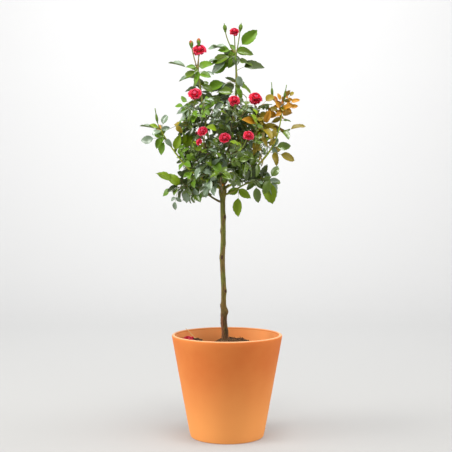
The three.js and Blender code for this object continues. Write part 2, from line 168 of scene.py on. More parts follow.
# Red earthenware, thrown and fired without a glaze: dry and even, with faint turning lines, paler on the
# rim, partly rubbed and partly a painted highlight, and paler towards the foot, a painted bounce light from
# the floor.
def firedClay(name, dark, pale, paintedFootBounceTone, rubbedRimAndHighlightTone="#EEB484"):
    material, tree = newFinish(name, dark, 0.8, 0.35)
    place = addNode(tree, "TexCoord", out="Object")
    height = addNode(tree, "SeparateXYZ", {0: place}, out="Z")
    flat = addNode(tree, "Mapping", {0: place, "Scale": (0.12, 0.12, 1)})
    clouds, fine, turning = (
        addNode(tree, "TexNoise", softGrain | {"Vector": spot, "Scale": 1 / (size * mm)})
        for spot, size in ((place, 150), (place, 2.2), (flat, 6.5))
    )
    tone = addNode(tree, "ValToRGB", {0: clouds}, stops=[(0.3, dark), (0.7, pale)])
    # The painted bounce light towards the foot, and the rim, rubbed and with a painted highlight, between
    # heights in metres
    for start, end, blend, other in (
        (0.245, -0.02, "SMOOTHSTEP", paintedFootBounceTone), (0.2725, 0.2745, "LINEAR", rubbedRimAndHighlightTone),
    ):
        span = {"Value": height, "From Min": start, "From Max": end}
        share = addNode(tree, "MapRange", span, interpolation_type=blend)
        tone = addNode(tree, "Mix", {0: share, 6: tone, 7: linear(other)}, out=2, data_type="RGBA")
    lines = addNode(tree, "Bump", {"Height": turning, "Distance": 0.16 * mm})
    normal = addNode(tree, "Bump", {"Height": fine, "Distance": 0.08 * mm, "Normal": lines})
    addNode(tree, "Principled BSDF", {"Base Color": tone, "Normal": normal})
    return material


# Damp peat-free compost: nearly black, crumbly and dull, with paler fibres through it.
def dampCompost():
    material, tree = newFinish("dampCompost", "#3A2B20", 0.95, 0.2)
    place = addNode(tree, "TexCoord", out="Object")
    grain = {"Vector": place, "Scale": 1 / (3.2 * mm), "Detail": 6, "Roughness": 0.7}
    crumb = addNode(tree, "TexNoise", grain)
    stops = [(0.34, "#241A12"), (0.48, "#4A3625"), (0.58, "#7A5C40"), (0.68, "#A88660")]
    tone = addNode(tree, "ValToRGB", {0: crumb}, stops=stops)
    normal = addNode(tree, "Bump", {"Height": crumb, "Distance": 1.4 * mm})
    addNode(tree, "Principled BSDF", {"Base Color": tone, "Normal": normal})
    return material


# Torn fibrous stuff, matt: composted bark, scars, dry straw and old cut wood.
def barkChip(name, colour):
    material, tree = newFinish(name, colour, 0.9, 0.25)
    place = addNode(tree, "TexCoord", out="Object")
    torn = addNode(tree, "TexNoise", softGrain | {"Vector": place, "Scale": 1 / (1.1 * mm)})
    normal = addNode(tree, "Bump", {"Height": torn, "Distance": 0.4 * mm})
    addNode(tree, "Principled BSDF", {"Normal": normal})
    return material


# Bark of a briar stem: red-brown and fissured low down, with darker mossy patches, and above it olive with
# brown mottling, where it is younger.
def briarBark():
    material, tree = newFinish("briarBark", "#6F6730", 0.7, 0.35)
    place = addNode(tree, "TexCoord", out="Object")
    height = addNode(tree, "SeparateXYZ", {0: place}, out="Z")
    long = addNode(tree, "Mapping", {0: place, "Scale": (1, 1, 0.2)})
    fibre, patch = (
        addNode(tree, "TexNoise", {"Vector": long, "Scale": 1 / (size * mm)} | grain)
        for size, grain in ((2.6, {"Detail": 5, "Roughness": 0.65}), (12, {"Detail": 4, "Roughness": 0.6}))
    )
    mottle = addNode(tree, "MapRange", {"Value": patch, "From Min": 0.44, "From Max": 0.6})
    spread = addNode(tree, "Math", {0: patch, 1: 0.12}, operation="MULTIPLY")
    level = addNode(tree, "Math", {0: height, 1: spread}, operation="ADD")
    young = addNode(tree, "MapRange", {"Value": level, "From Min": 0.385, "From Max": 0.425})  # metres
    tones = []
    for pair in (
        (("#523422", "#7C5032", "#A07446"), ("#2C2210", "#503E20", "#8C7838")),
        (("#4C4F18", "#6D7026", "#8C8A3E"), ("#54421C", "#7A622C", "#9A8442")),
    ):
        plain, patched = (
            addNode(tree, "ValToRGB", {0: fibre}, stops=list(zip((0.3, 0.52, 0.72), three))) for three in pair
        )
        tones.append(addNode(tree, "Mix", {0: mottle, 6: plain, 7: patched}, out=2, data_type="RGBA"))
    bark = addNode(tree, "Mix", {0: young, 6: tones[0], 7: tones[1]}, out=2, data_type="RGBA")
    normal = addNode(tree, "Bump", {"Height": fibre, "Distance": 0.5 * mm})
    addNode(tree, "Principled BSDF", {"Base Color": bark, "Normal": normal})
    return material


# Skin of a young rose cane: smooth and faintly waxy, green, flushed with another colour on its sunny side.
def caneSkin(name, colour, flush):
    material, tree = newFinish(name, colour, 0.5, 0.4)
    place = addNode(tree, "TexCoord", out="Object")
    patch, fine = (
        addNode(tree, "TexNoise", softGrain | {"Vector": place, "Scale": 1 / (size * mm), "Detail": detail})
        for size, detail in ((26, 4), (1.6, 2))
    )
    tone = addNode(tree, "ValToRGB", {0: patch}, stops=[(0.42, colour), (0.66, flush)])
    normal = addNode(tree, "Bump", {"Height": fine, "Distance": 0.12 * mm})
    addNode(tree, "Principled BSDF", {"Base Color": tone, "Normal": normal})
    return material


# Rose leaf, upper side: a tough cuticle with a crisp gloss over green flesh, quilted between its side veins.
def leafUpper(name, colour, gloss, shine):
    material, tree = newFinish(name, colour, gloss, shine)
    blade = addNode(tree, "UVMap", uv_map="blade")
    along, across = (addNode(tree, "SeparateXYZ", {0: blade}, out=axis) for axis in "XY")
    # Seven side veins leave the midrib at a slant on each side.
    away = addNode(tree, "Math", {0: across}, operation="ABSOLUTE")
    slant = addNode(tree, "Math", {0: away, 1: 0.32}, operation="MULTIPLY")
    line = addNode(tree, "Math", {0: along, 1: slant}, operation="SUBTRACT")
    turns = addNode(tree, "Math", {0: line, 1: 44.0}, operation="MULTIPLY")
    veins = addNode(tree, "Math", {0: turns}, operation="SINE")
    normal = addNode(tree, "Bump", {"Height": veins, "Distance": 0.035 * mm})
    addNode(tree, "Principled BSDF", {"Normal": normal})
    return material


# Rose leaf, underside: paler and matt.
def leafUnder(name, colour):
    return newFinish(name, colour, 0.68, 0.3)[0]


# Petals are thin and velvety, with a sheen at a low angle.
def petalVelvet(name, colour):
    return newFinish(name, colour, 0.55, 0.2, {"Sheen Weight": 0.1, "Sheen Roughness": 0.4})[0]


finishes = {
    # The outer clay; its third colour is the painted bounce light towards the foot.
    "clay": firedClay("firedEarthenware", "#DA7230", "#E4863E", "#FFA85A"),
    # A paler copy of the clay for the inside, painted light on the shaded inner wall; its third colour is
    # painted bounce light towards its floor.
    "clayInsidePaintedLight": firedClay("firedEarthenwareInsidePaintedLight", "#F79651", "#F7A763", "#F4A65C"),
    "compost": dampCompost(),
    "chipBrown": barkChip("compostedBarkBrown", "#6E5034"),
    "chipDark": barkChip("compostedBarkDark", "#2E2219"),
    "chipPale": barkChip("compostedBarkPale", "#AC8A60"),
    "bark": briarBark(),
    "caneGreen": caneSkin("greenCaneSkin", "#869A34", "#8E8C38"),
    "caneRust": caneSkin("rustCaneSkin", "#6B6634", "#744A30"),
    "caneFresh": caneSkin("freshCaneSkin", "#A2BA30", "#AEAC38"),
    "scar": barkChip("barkScar", "#4A2C24"),
    "scarEdge": barkChip("barkScarLip", "#867448"),
    "cutWood": barkChip("agedCutWood", "#DC8A2C"),
    "straw": barkChip("driedStraw", "#D8B878"),
    "stalk": caneSkin("leafStalkSkin", "#71892F", "#86703A"),
    "thorn": newFinish("prickleHorn", "#9A5A3C", 0.45)[0],  # hard and horny, smooth
    "sepal": leafUnder("sepalGreen", "#66822A"),
    "budPetal": petalVelvet("petalVelvetFurled", "#C04A34"),
    "petalHeart": petalVelvet("petalVelvetCrimson", "#E80F34"),
    "petalOpen": petalVelvet("petalVelvetRed", "#E8123A"),
    # Pale pink for the petals' top rows, partly the rose's paler edge and partly painted glint.
    "petalEdgeAndGlint": petalVelvet("petalVelvetPinkAndGlint", "#F0587A"),
    "leafletUnderGreen": leafUnder("leafUndersidePale", "#7A8C58"),
    "leafletUnderWarm": leafUnder("leafUndersideWarm", "#A07C2C"),
}
print("finishes made", len(finishes))


def finishList(*names):
    return [finishes[name] for name in names]


# Meshes from lists

def newShape():
    return {"points": [], "faces": [], "slots": []}


def addFaces(shape, points, faces, slot=0):
    first = len(shape["points"])
    shape["points"].extend(points)
    shape["faces"].extend([first + i for i in face] for face in faces)
    shape["slots"].extend([slot] * len(faces))


# Faces between rings of points that follow one another, the first point having the given number.
def ringFaces(rings, sides, first=0, turned=False):
    faces = []
    for i in range(rings - 1):
        for k in range(sides):
            a, b = (first + i * sides + step % sides for step in (k, k + 1))
            faces.append([a, a + sides, b + sides, b] if turned else [a, b, b + sides, a + sides])
    return faces


def bareMesh(name, points, faces, smooth=True):
    mesh = bpy.data.meshes.new(name)
    mesh.from_pydata([tuple(p) for p in points], [], faces)
    mesh.polygons.foreach_set("use_smooth", [smooth] * len(faces))
    return mesh


# A mesh to copy, whose faces carry the number of their part: face, back or edge.
def formMesh(name, points, faces, parts):
    mesh = bareMesh(name, points, faces)
    mesh.attributes.new("part", "INT", "FACE").data.foreach_set("value", parts)
    mesh.update()
    return mesh


def meshOf(name, shape, materials=(), smooth=True):
    mesh = bareMesh(name, shape["points"], shape["faces"], smooth)
    for material in materials:
        mesh.materials.append(material)
    mesh.polygons.foreach_set("material_index", shape["slots"])
    mesh.update()
    return mesh


def addPiece(name, mesh, nodes=()):
    piece = bpy.data.objects.new(name, mesh)
    bpy.context.scene.collection.objects.link(piece)
    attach(piece, "root")
    if nodes:
        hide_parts(*nodes)
    mesh.calc_loop_triangles()
    print("piece", name, len(mesh.loop_triangles), "triangles")


# A closed tube along points, with a radius at each one.
def addTube(shape, points, radii, sides, slot=0):
    side = sheer(Vector((0.31, -0.95, 0.07)), (points[1] - points[0]).normalized())
    rings = []
    for i, point in enumerate(points):
        heading = (points[min(i + 1, len(points) - 1)] - points[max(i - 1, 0)]).normalized()
        side = sheer(side, heading)
        across = heading.cross(side)
        for turn in wholeTurn(sides):
            rings.append(point + (side * math.cos(turn) + across * math.sin(turn)) * radii[i])
    last = (len(points) - 1) * sides
    caps = [list(reversed(range(sides))), list(range(last, last + sides))]
    addFaces(shape, rings, caps + ringFaces(len(points), sides), slot)


# A closed turned shape: profile of (radius, height) from the axis back to the axis.
def addTurned(shape, profile, sides, lift=None):
    points, rows, faces = [], [], []
    for radius, height in profile:
        poles = radius < 1e-7
        rows.append([len(points) + k for k in range(1 if poles else sides)])
        for turn in wholeTurn(sides)[:len(rows[-1])]:
            spot = Vector((*polar(turn, 0 if poles else radius), height))
            points.append(spot + lift(spot) if lift and not poles else spot)
    for low, high in zip(rows, rows[1:]):
        for k in range(sides):
            after = (k + 1) % sides
            if len(low) == 1:
                faces.append([low[0], high[after], high[k]])
            elif len(high) == 1:
                faces.append([low[k], low[after], high[0]])
            else:
                faces.append([low[k], low[after], high[after], high[k]])
    addFaces(shape, points, faces)


# Curves, as points evenly spaced along their length

def curveThrough(start, bend, end, count=24):
    raw = []
    for i in range(4 * count + 1):
        t = i / (4 * count)
        raw.append(start * (1 - t) ** 2 + bend * (2 * t * (1 - t)) + end * t * t)
    lengths = [0.0]
    for a, b in zip(raw, raw[1:]):
        lengths.append(lengths[-1] + (b - a).length)
    points = []
    at = 0
    for i in range(count + 1):
        goal = lengths[-1] * i / count
        while at < len(raw) - 2 and lengths[at + 1] < goal:
            at += 1
        span = max(lengths[at + 1] - lengths[at], 1e-9)
        points.append(raw[at].lerp(raw[at + 1], min(1, (goal - lengths[at]) / span)))
    return {"points": points, "length": lengths[-1]}


# The step of a curve that a share of it falls in, and how far into that step
def stepAt(curve, share):
    last = len(curve["points"]) - 1
    place = min(max(share, 0), 1) * last
    at = min(int(place), last - 1)
    return curve["points"][at], curve["points"][at + 1], place - at


def pointAt(curve, share):
    start, end, part = stepAt(curve, share)
    return start.lerp(end, part)


def headingAt(curve, share):
    start, end = stepAt(curve, share)[:2]
    return (end - start).normalized()


# The first part of a curve, as far as a share of it.
def cutAt(curve, share):
    count = len(curve["points"])
    points = [pointAt(curve, share * i / (count - 1)) for i in range(count)]
    return {"points": points, "length": curve["length"] * share}


# Geometry Nodes: small pieces copied on points, with the materials set by the part of each face

partNames = ("Face", "Back", "Edge")


# A tree with named inputs, each given as a kind of socket or as a usual value, and one result.
def newTree(name, inputs):
    tree = bpy.data.node_groups.new(name, "GeometryNodeTree")
    for title, usual in (inputs | dict.fromkeys(partNames, "Material")).items():
        kind = usual if isinstance(usual, str) else type(usual).__name__.capitalize()
        socket = tree.interface.new_socket(title, in_out="INPUT", socket_type="NodeSocket" + kind)
        if usual != kind:
            socket.default_value = usual
    tree.interface.new_socket("Made", in_out="OUTPUT", socket_type="NodeSocketGeometry")
    return tree, tree.nodes.new("NodeGroupInput").outputs


# The end of both trees: copies at the points by turn, size and kind, made real and given their materials.
def endTree(tree, given, points, turn, size, kind):
    choose = {"Collection": given["Pieces"], "Separate Children": True, "Reset Children": True}
    pieces = addNode(tree, "GeometryNodeCollectionInfo", choose)
    rotation = addNode(tree, "FunctionNodeEulerToRotation", {0: turn})
    copies = addNode(tree, "GeometryNodeInstanceOnPoints", {
        "Points": points, "Instance": pieces, "Pick Instance": True, "Instance Index": kind,
        "Rotation": rotation, "Scale": size,
    })
    made = addNode(tree, "GeometryNodeRealizeInstances", {"Geometry": copies})
    part = addNode(tree, "GeometryNodeInputNamedAttribute", {"Name": "part"}, "Attribute", data_type="INT")
    for number, name in enumerate(partNames):
        same = addNode(tree, "FunctionNodeCompare", {2: part, 3: number}, data_type="INT", operation="EQUAL")
        skin = {"Geometry": made, "Selection": same, "Material": given[name]}
        made = addNode(tree, "GeometryNodeSetMaterial", skin)
    addNode(tree, "NodeGroupOutput", {"Made": made})
    return tree


# Copies on points that carry their own turn, size and kind
def buildCopiesTree():
    tree, given = newTree("placedCopies", {"Points": "Geometry", "Pieces": "Collection", "Size": 1.0})
    turn, size, kind = (
        addNode(tree, "GeometryNodeInputNamedAttribute", {"Name": name}, "Attribute", data_type=form)
        for name, form in (("turn", "FLOAT_VECTOR"), ("size", "FLOAT_VECTOR"), ("kind", "INT"))
    )
    scale = addNode(tree, "VectorMath", {0: size, "Scale": given["Size"]}, operation="SCALE")
    return endTree(tree, given, given["Points"], turn, scale, kind)


# The sums of a rosette: the name of the result, the operation and what it works on, which is a number or an
# input or an earlier result. Each petal is turned by the golden angle, and opens more towards the outside.
rosetteSums = [
    ("last", "SUBTRACT", "Count", 1.0), ("share", "DIVIDE", "index", "last"),
    ("bearing", "MULTIPLY_ADD", "index", math.radians(goldenTurn)), ("sway", "MULTIPLY", "wander", 0.3),
    ("bearing", "ADD", "bearing", "sway"), ("span", "SUBTRACT", "Opening", "Heart"),
    ("opened", "POWER", "share", 0.9), ("opened", "MULTIPLY", "opened", "span"),
    ("tilt", "ADD", "Heart", "opened"), ("nod", "MULTIPLY", "wander", 8.0), ("tilt", "ADD", "tilt", "nod"),
    ("tilt", "RADIANS", "tilt", 0.0), ("growth", "SUBTRACT", "Outer Size", "Inner Size"),
    ("grown", "POWER", "share", 0.7), ("grown", "MULTIPLY", "grown", "growth"),
    ("size", "ADD", "Inner Size", "grown"), ("reach", "MULTIPLY", "share", "Seat Radius"),
    ("drop", "MULTIPLY", "Seat Drop", -1.0), ("z", "MULTIPLY", "share", "drop"),
    ("x", "COSINE", "bearing", 0.0), ("x", "MULTIPLY", "x", "reach"), ("y", "SINE", "bearing", 0.0),
    ("y", "MULTIPLY", "y", "reach"), ("kind", "MULTIPLY", "share", 2.99), ("kind", "FLOOR", "kind", 0.0),
]


def buildRosetteTree():
    tree, given = newTree("petalRosette", {
        "Start": "Geometry", "Pieces": "Collection", "Count": 26, "Heart": 6.0, "Opening": 78.0,
        "Outer Size": 1.0, "Inner Size": 0.7, "Seat Radius": 3.4 * mm, "Seat Drop": 3.0 * mm, "Seed": 1.0,
    })
    known = {socket.name: socket for socket in given if socket.name}
    known["index"] = addNode(tree, "GeometryNodeInputIndex")
    wander = {2: -1.0, 3: 1.0, "ID": known["index"], "Seed": given["Seed"]}
    known["wander"] = addNode(tree, "FunctionNodeRandomValue", wander, out=1, data_type="FLOAT")
    for name, operation, first, second in rosetteSums:
        both = {0: known.get(first, first), 1: known.get(second, second)}
        known[name] = addNode(tree, "Math", both, operation=operation)
    spot = addNode(tree, "CombineXYZ", {axis.upper(): known[axis] for axis in "xyz"})
    turn = addNode(tree, "CombineXYZ", {"X": 0.0, "Y": known["tilt"], "Z": known["bearing"]})
    line = addNode(tree, "GeometryNodeMeshLine", {"Count": given["Count"]})
    points = addNode(tree, "GeometryNodeSetPosition", {"Geometry": line, "Position": spot})
    return endTree(tree, given, points, turn, known["size"], known["kind"])


copiesTree = buildCopiesTree()
rosetteTree = buildRosetteTree()


# Runs a tree on a mesh with some small meshes to copy, and gives the result as a plain mesh.
def grownMesh(name, start, tree, forms, inputs, spares=()):
    group = bpy.data.collections.new(name + "Forms")
    for number, form in enumerate(forms):
        group.objects.link(bpy.data.objects.new(f"{name}Form{number:02d}", form))
    holder = bpy.data.objects.new(name + "Points", start)
    bpy.context.scene.collection.objects.link(holder)
    modifier = holder.modifiers.new("grow", "NODES")
    modifier.node_group = tree
    inputs = inputs | {"Pieces": group}
    for item in tree.interface.items_tree:
        if item.in_out == "INPUT" and item.name in inputs:
            modifier[item.identifier] = inputs[item.name]
    made = bpy.data.meshes.new_from_object(holder.evaluated_get(bpy.context.evaluated_depsgraph_get()))
    made.name = name
    holder.modifiers.remove(modifier)
    for one in [holder, *group.objects]:
        bpy.data.objects.remove(one)
    bpy.data.collections.remove(group)
    for spare in spares:
        if spare in made.attributes:
            made.attributes.remove(made.attributes[spare])
    return made


# Copies of small meshes at places, each of which has its spot, turn, size and the number of its form.
def copiesMesh(name, places, forms, face, back=None, edge=None):
    start = bpy.data.meshes.new("places")
    start.from_pydata([tuple(p["at"]) for p in places], [], [])
    for title in ("turn", "size"):
        values = [v for p in places for v in p[title]]
        start.attributes.new(title, "FLOAT_VECTOR", "POINT").data.foreach_set("vector", values)
    start.attributes.new("kind", "INT", "POINT").data.foreach_set("value", [p["kind"] for p in places])
    inputs = {"Size": 1.0, "Face": face, "Back": back or face, "Edge": edge or face}
    return grownMesh(name, start, copiesTree, forms, inputs, spares=("turn", "size", "kind", "part"))


# The turn that lays a form's X along one direction and its Z towards a facing.
def turnFor(along, facing):
    side = facing.cross(along).normalized()
    return Matrix((along, side, along.cross(side))).transposed().to_euler()


# Pot

potSizes = {
    "wall": 9.5, "floor": 12.0, "footRadius": 99.0, "footRound": 5.0, "rimRound": 4.75, "wobble": 0.25,
}
potRows = {"sides": 144, "outside": 26, "inside": 12, "foot": 5, "rim": 9}


def roundedCorner(x, y, radius, start, end, count):
    turns = [math.radians(mixed(start, end, i / count)) for i in range(count + 1)]
    return [(x + radius * math.cos(turn), y + radius * math.sin(turn)) for turn in turns]


def potProfile():
    wall, floor, footRadius, foot, lip = (
        potSizes[name] * mm for name in ("wall", "floor", "footRadius", "footRound", "rimRound")
    )
    low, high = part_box("pot")
    height = high[2] - low[2]
    rim = (high[0] - low[0]) / 2
    slope = (rim - footRadius) / height
    outline = [(0, 0), (footRadius * 0.5, 0)]
    outline += roundedCorner(footRadius - foot, foot, foot, -90, -10, potRows["foot"])
    for i in range(1, potRows["outside"]):
        level = mixed(foot * 2, height - lip * 2, i / potRows["outside"])
        outline.append((footRadius + slope * level, level))
    outline += roundedCorner(rim - lip - slope * lip, height - lip, lip, 5, 175, potRows["rim"])
    insideFrom = len(outline) - 1
    for i in range(1, potRows["inside"]):
        level = mixed(height - lip * 2, floor, i / potRows["inside"])
        outline.append((footRadius - wall + slope * level, level))
    return outline + [(footRadius - wall, floor), (0, floor)], insideFrom


# A thrown pot is never quite round.
def thrownWobble(spot):
    away = noise.noise(Vector((spot.x * 9, spot.y * 9, spot.z * 22)))
    return Vector((spot.x, spot.y, 0)).normalized() * away * potSizes["wobble"] * mm


potShape = newShape()
potOutline, insideFrom = potProfile()
addTurned(potShape, potOutline, potRows["sides"], lift=thrownWobble)
outer = insideFrom * potRows["sides"]
# The inside takes the paler copy of the clay, painted light on the shaded inner wall.
potShape["slots"][outer:] = [1] * (len(potShape["slots"]) - outer)
addPiece("clayPot", meshOf("clayPot", potShape, finishList("clay", "clayInsidePaintedLight")), ["pot"])


# Compost: a lumpy bed with a mound round the trunk and a heap at the left, strewn with crumbs and chips

bedSizes = {
    "rings": 54, "sides": 150, "level": 231.0, "lump": 3.4, "fine": 1.3, "moundTop": 260.0, "moundAt": 15.0,
    "moundFoot": 92.0, "flat": 26.0, "heap": (-86.0, 66.0), "heapRise": 22.0, "heapWide": 32.0, "edge": 1.6,
    "trunkAt": -5.0, "trunkClear": (9.0, 20.0), "depth": 30.0, "wallTop": 239.0, "wallGap": 0.2,
    "wallSlope": 51 / 275,
}
crumbSizes = {
    "count": 3400, "smallest": 1.1, "largest": 4.6, "chips": 420, "chipSmallest": 3.0, "chipLargest": 13.0,
    "reach": 0.985, "chipReach": 0.97, "chipFlat": 0.85, "fromTrunk": 12.0, "rarer": 2.6, "raised": 0.25,
}


def bedHeight(x, y):
    def size(name):
        return bedSizes[name] * mm

    fromMound = math.hypot(x - size("moundAt"), y)
    rise = (size("moundTop") - size("level")) * (1 - smoothed(fromMound, size("flat"), size("moundFoot")))
    fromHeap = math.hypot(x - bedSizes["heap"][0] * mm, y - bedSizes["heap"][1] * mm)
    heap = size("heapRise") * math.exp(-(fromHeap / size("heapWide")) ** 2)
    lumps = noise.fractal(Vector((x * 62, y * 62, 3)), 0.8, 2.1, 5) * size("lump")
    fine = noise.noise(Vector((x * 420, y * 420, 9))) * size("fine")
    low, high = bedSizes["trunkClear"]
    clear = smoothed(math.hypot(x - size("trunkAt"), y), low * mm, high * mm)
    return size("level") + rise + heap + (lumps + fine) * clear


def compostBed():
    low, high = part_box("compost")
    radius = min(high[0] - low[0], high[1] - low[1]) / 2
    rings, sides, depth = bedSizes["rings"], bedSizes["sides"], bedSizes["depth"] * mm
    points = [Vector((0, 0, bedHeight(0, 0)))]
    for i in range(1, rings + 1):
        reach = (radius - bedSizes["edge"] * mm) * i / rings
        for turn in wholeTurn(sides):
            x, y = polar(turn, reach)
            points.append(Vector((x, y, bedHeight(x, y))))
    reach = radius - bedSizes["wallGap"] * mm - bedSizes["wallSlope"] * depth
    points += [Vector((*polar(turn, reach), bedSizes["wallTop"] * mm - depth)) for turn in wholeTurn(sides)]
    faces = [[0, 1 + k, 1 + (k + 1) % sides] for k in range(sides)]
    faces += ringFaces(rings + 1, sides, first=1, turned=True)
    faces.append(list(reversed(range(1 + rings * sides, len(points)))))
    shape = newShape()
    addFaces(shape, points, faces)
    return shape, radius


def lumpMesh(name, key, stretch):
    rows = [(0, -1), (0.8, -0.55), (1, 0.1), (0.7, 0.7), (0, 1)]
    shape = newShape()

    def uneven(spot):
        return Vector((noise.noise(spot * 1.7 + Vector((key, 0, 0))), noise.noise(spot * 1.9), 0)) * 0.5

    addTurned(shape, rows, 6, lift=uneven)
    shape["points"] = [Vector(a * b for a, b in zip(p, stretch)) for p in shape["points"]]
    return meshOf(name, shape, smooth=False)


def bedPlaces(count, smallest, largest, radius, key, flatness=0.0):
    places = []
    tip = mixed(math.pi, 0.5, flatness)
    for i in range(count):
        reach = radius * math.sqrt(chance(key, i, 1)) * crumbSizes["reach"]
        x, y = polar(2 * math.pi * chance(key, i, 2), reach)
        if math.hypot(x - bedSizes["trunkAt"] * mm, y) < crumbSizes["fromTrunk"] * mm:
            continue
        size = mixed(smallest, largest, chance(key, i, 3) ** crumbSizes["rarer"]) * mm / 2
        places.append({
            "at": Vector((x, y, bedHeight(x, y) + size * crumbSizes["raised"])),
            "turn": (
                between(-tip, tip, key, i, 4), between(-tip, tip, key, i, 5), between(0, 6.28, key, i, 6),
            ),
            "size": (size, size * between(0.7, 1.1, key, i, 7), size * between(0.6, 1.0, key, i, 8)),
            "kind": int(3 * chance(key, i, 9)),
        })
    return places


bedShape, bedRadius = compostBed()
addPiece("compostBed", meshOf("compostBed", bedShape, finishList("compost")), ["compost"])
crumbForms = [
    lumpMesh(f"crumb{n}", n, stretch)
    for n, stretch in enumerate([(1, 1, 1), (1.4, 0.8, 0.7), (1.1, 1, 0.5)], 1)
]
chipForms = [
    lumpMesh(f"chip{n}", n, stretch)
    for n, stretch in enumerate([(1, 0.42, 0.16), (1, 0.6, 0.2), (1, 0.16, 0.12)], 4)
]
crumbs = bedPlaces(crumbSizes["count"], crumbSizes["smallest"], crumbSizes["largest"], bedRadius, 51)
chips = bedPlaces(
    crumbSizes["chips"], crumbSizes["chipSmallest"], crumbSizes["chipLargest"],
    bedRadius * crumbSizes["chipReach"], 52, crumbSizes["chipFlat"],
)
for name, places, forms, finish in (
    ("compostCrumbs", crumbs[::2], crumbForms, "chipDark"),
    ("compostGrit", crumbs[1::2], crumbForms, "chipBrown"),
    ("barkChips", chips[::2] + chips[1::4], chipForms, "chipBrown"),
    ("barkChipsPale", chips[3::4], chipForms, "chipPale"),
):
    addPiece(name, copiesMesh(name, places, forms, finishes[finish]), ["compost"])
print("pot and compost made")


# Trunk

trunkSizes = {
    "leans": [-5.1, -9.4, -9.3, -12.3, -10.2, -11.4, -12.0], "sway": 0.6, "foot": 255.0, "footRadius": 10.0,
    "lowRadius": 8.2, "highRadius": 6.8, "topRadius": 5.0, "narrows": (325.0, 350.0), "flareHeight": 14.0,
    "mostFlare": 4.0, "sides": 56, "rings": 420,
}
graft = {"height": 659.0, "out": 4.0, "half": 15.0}
# Old knots: height, how far they stand out, bearing, half their height.
knuckles = [
    (337, 5.5, 350, 11), (352, 2.2, 190, 7), (391, 2.0, 350, 8), (482, 1.8, 195, 9), (520, 1.0, 340, 9),
    (552, 1.6, 190, 8), (590, 1.5, 340, 9), (305, 1.6, 160, 10), (283, 1.5, 330, 7),
]
# Old leaf scars: height, bearing, half their height and half their width in millimetres.
scars = [
    (391, 312, 5, 3), (482, 258, 7, 3), (590, 318, 6, 3), (552, 200, 4, 2.5), (350, 200, 4, 3),
    (520, 60, 5, 3), (450, 110, 6, 3.5), (575, 90, 5, 3),
]
# A scar is sunk and has a lip. Distances from its middle are shares of its half size.
scarSizes = {
    "sunk": 0.5, "hollow": 0.9, "lip": 0.5, "lipAt": 1.35, "lipWide": 0.35, "edge": 1.25, "ragged": 0.2,
}
barkSizes = {
    "relief": 0.75, "old": 1.0, "young": 0.28, "youngFrom": (330, 420), "union": 0.5, "unionFrom": (630, 660),
    "ridges": 2.6, "stretch": 0.06, "sharp": 2.2, "middle": 0.6,
}
headX = -12.0
trunkLow, trunkTop = (corner[2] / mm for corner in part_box("trunk"))


# The trunk's axis runs smoothly through its leans, which are evenly spaced in height.
def trunkCentre(height):
    leans = trunkSizes["leans"]
    place = (height - trunkLow) / (trunkTop - trunkLow) * (len(leans) - 1)
    place = min(max(place, 0), len(leans) - 1)
    at = min(int(place), len(leans) - 2)
    t = place - at
    y = trunkSizes["sway"] * mixed(math.sin(3 * at), math.sin(3 * at + 3), t)
    before, a, b, after = (leans[min(max(at + k, 0), len(leans) - 1)] for k in (-1, 0, 1, 2))
    x = 0.5 * (2 * a + (b - before) * t + (2 * before - 5 * a + 4 * b - after) * t * t
               + (3 * a - before - 3 * b + after) * t ** 3)
    return Vector((x, y, height)) * mm


def bell(away, half):
    return math.exp(-(away / half) ** 2)


def trunkReach(height, turn):
    sizes = trunkSizes
    flare = (sizes["footRadius"] - sizes["lowRadius"]) * math.exp((trunkLow - height) / sizes["flareHeight"])
    shaft = mixed(sizes["lowRadius"], sizes["highRadius"], smoothed(height, *sizes["narrows"]))
    reach = mixed(shaft, sizes["topRadius"], smoothed(height, graft["height"], trunkTop))
    reach += min(flare, sizes["mostFlare"]) + graft["out"] * bell(height - graft["height"], graft["half"])
    for level, out, bearing, half in knuckles:
        facing = max(0, math.cos(turn - math.radians(bearing))) ** 2
        reach += out * facing * bell(height - level, half)
    away = fromScar(height, turn)
    reach -= scarSizes["sunk"] * bell(away, scarSizes["hollow"])
    return reach + scarSizes["lip"] * bell(away - scarSizes["lipAt"], scarSizes["lipWide"])


# How far a spot on the trunk is from the nearest scar, with 1 at the scar's rim.
def fromScar(height, turn):
    nearest = 9.0
    for level, bearing, tall, wide in scars:
        across = math.radians((math.degrees(turn) - bearing + 540) % 360 - 180) * trunkSizes["highRadius"]
        nearest = min(nearest, math.hypot((height - level) / tall, across / wide))
    return nearest


def barkRelief(height, turn):
    sizes = barkSizes
    rough = mixed(sizes["old"], sizes["young"], smoothed(height, *sizes["youngFrom"]))
    rough += sizes["union"] * smoothed(height, *sizes["unionFrom"])
    spot = Vector((*polar(turn, sizes["ridges"]), height * sizes["stretch"]))
    ridges = 1 - abs(noise.fractal(spot, 0.7, 2.2, 4)) * sizes["sharp"]
    return sizes["relief"] * rough * (ridges - sizes["middle"])


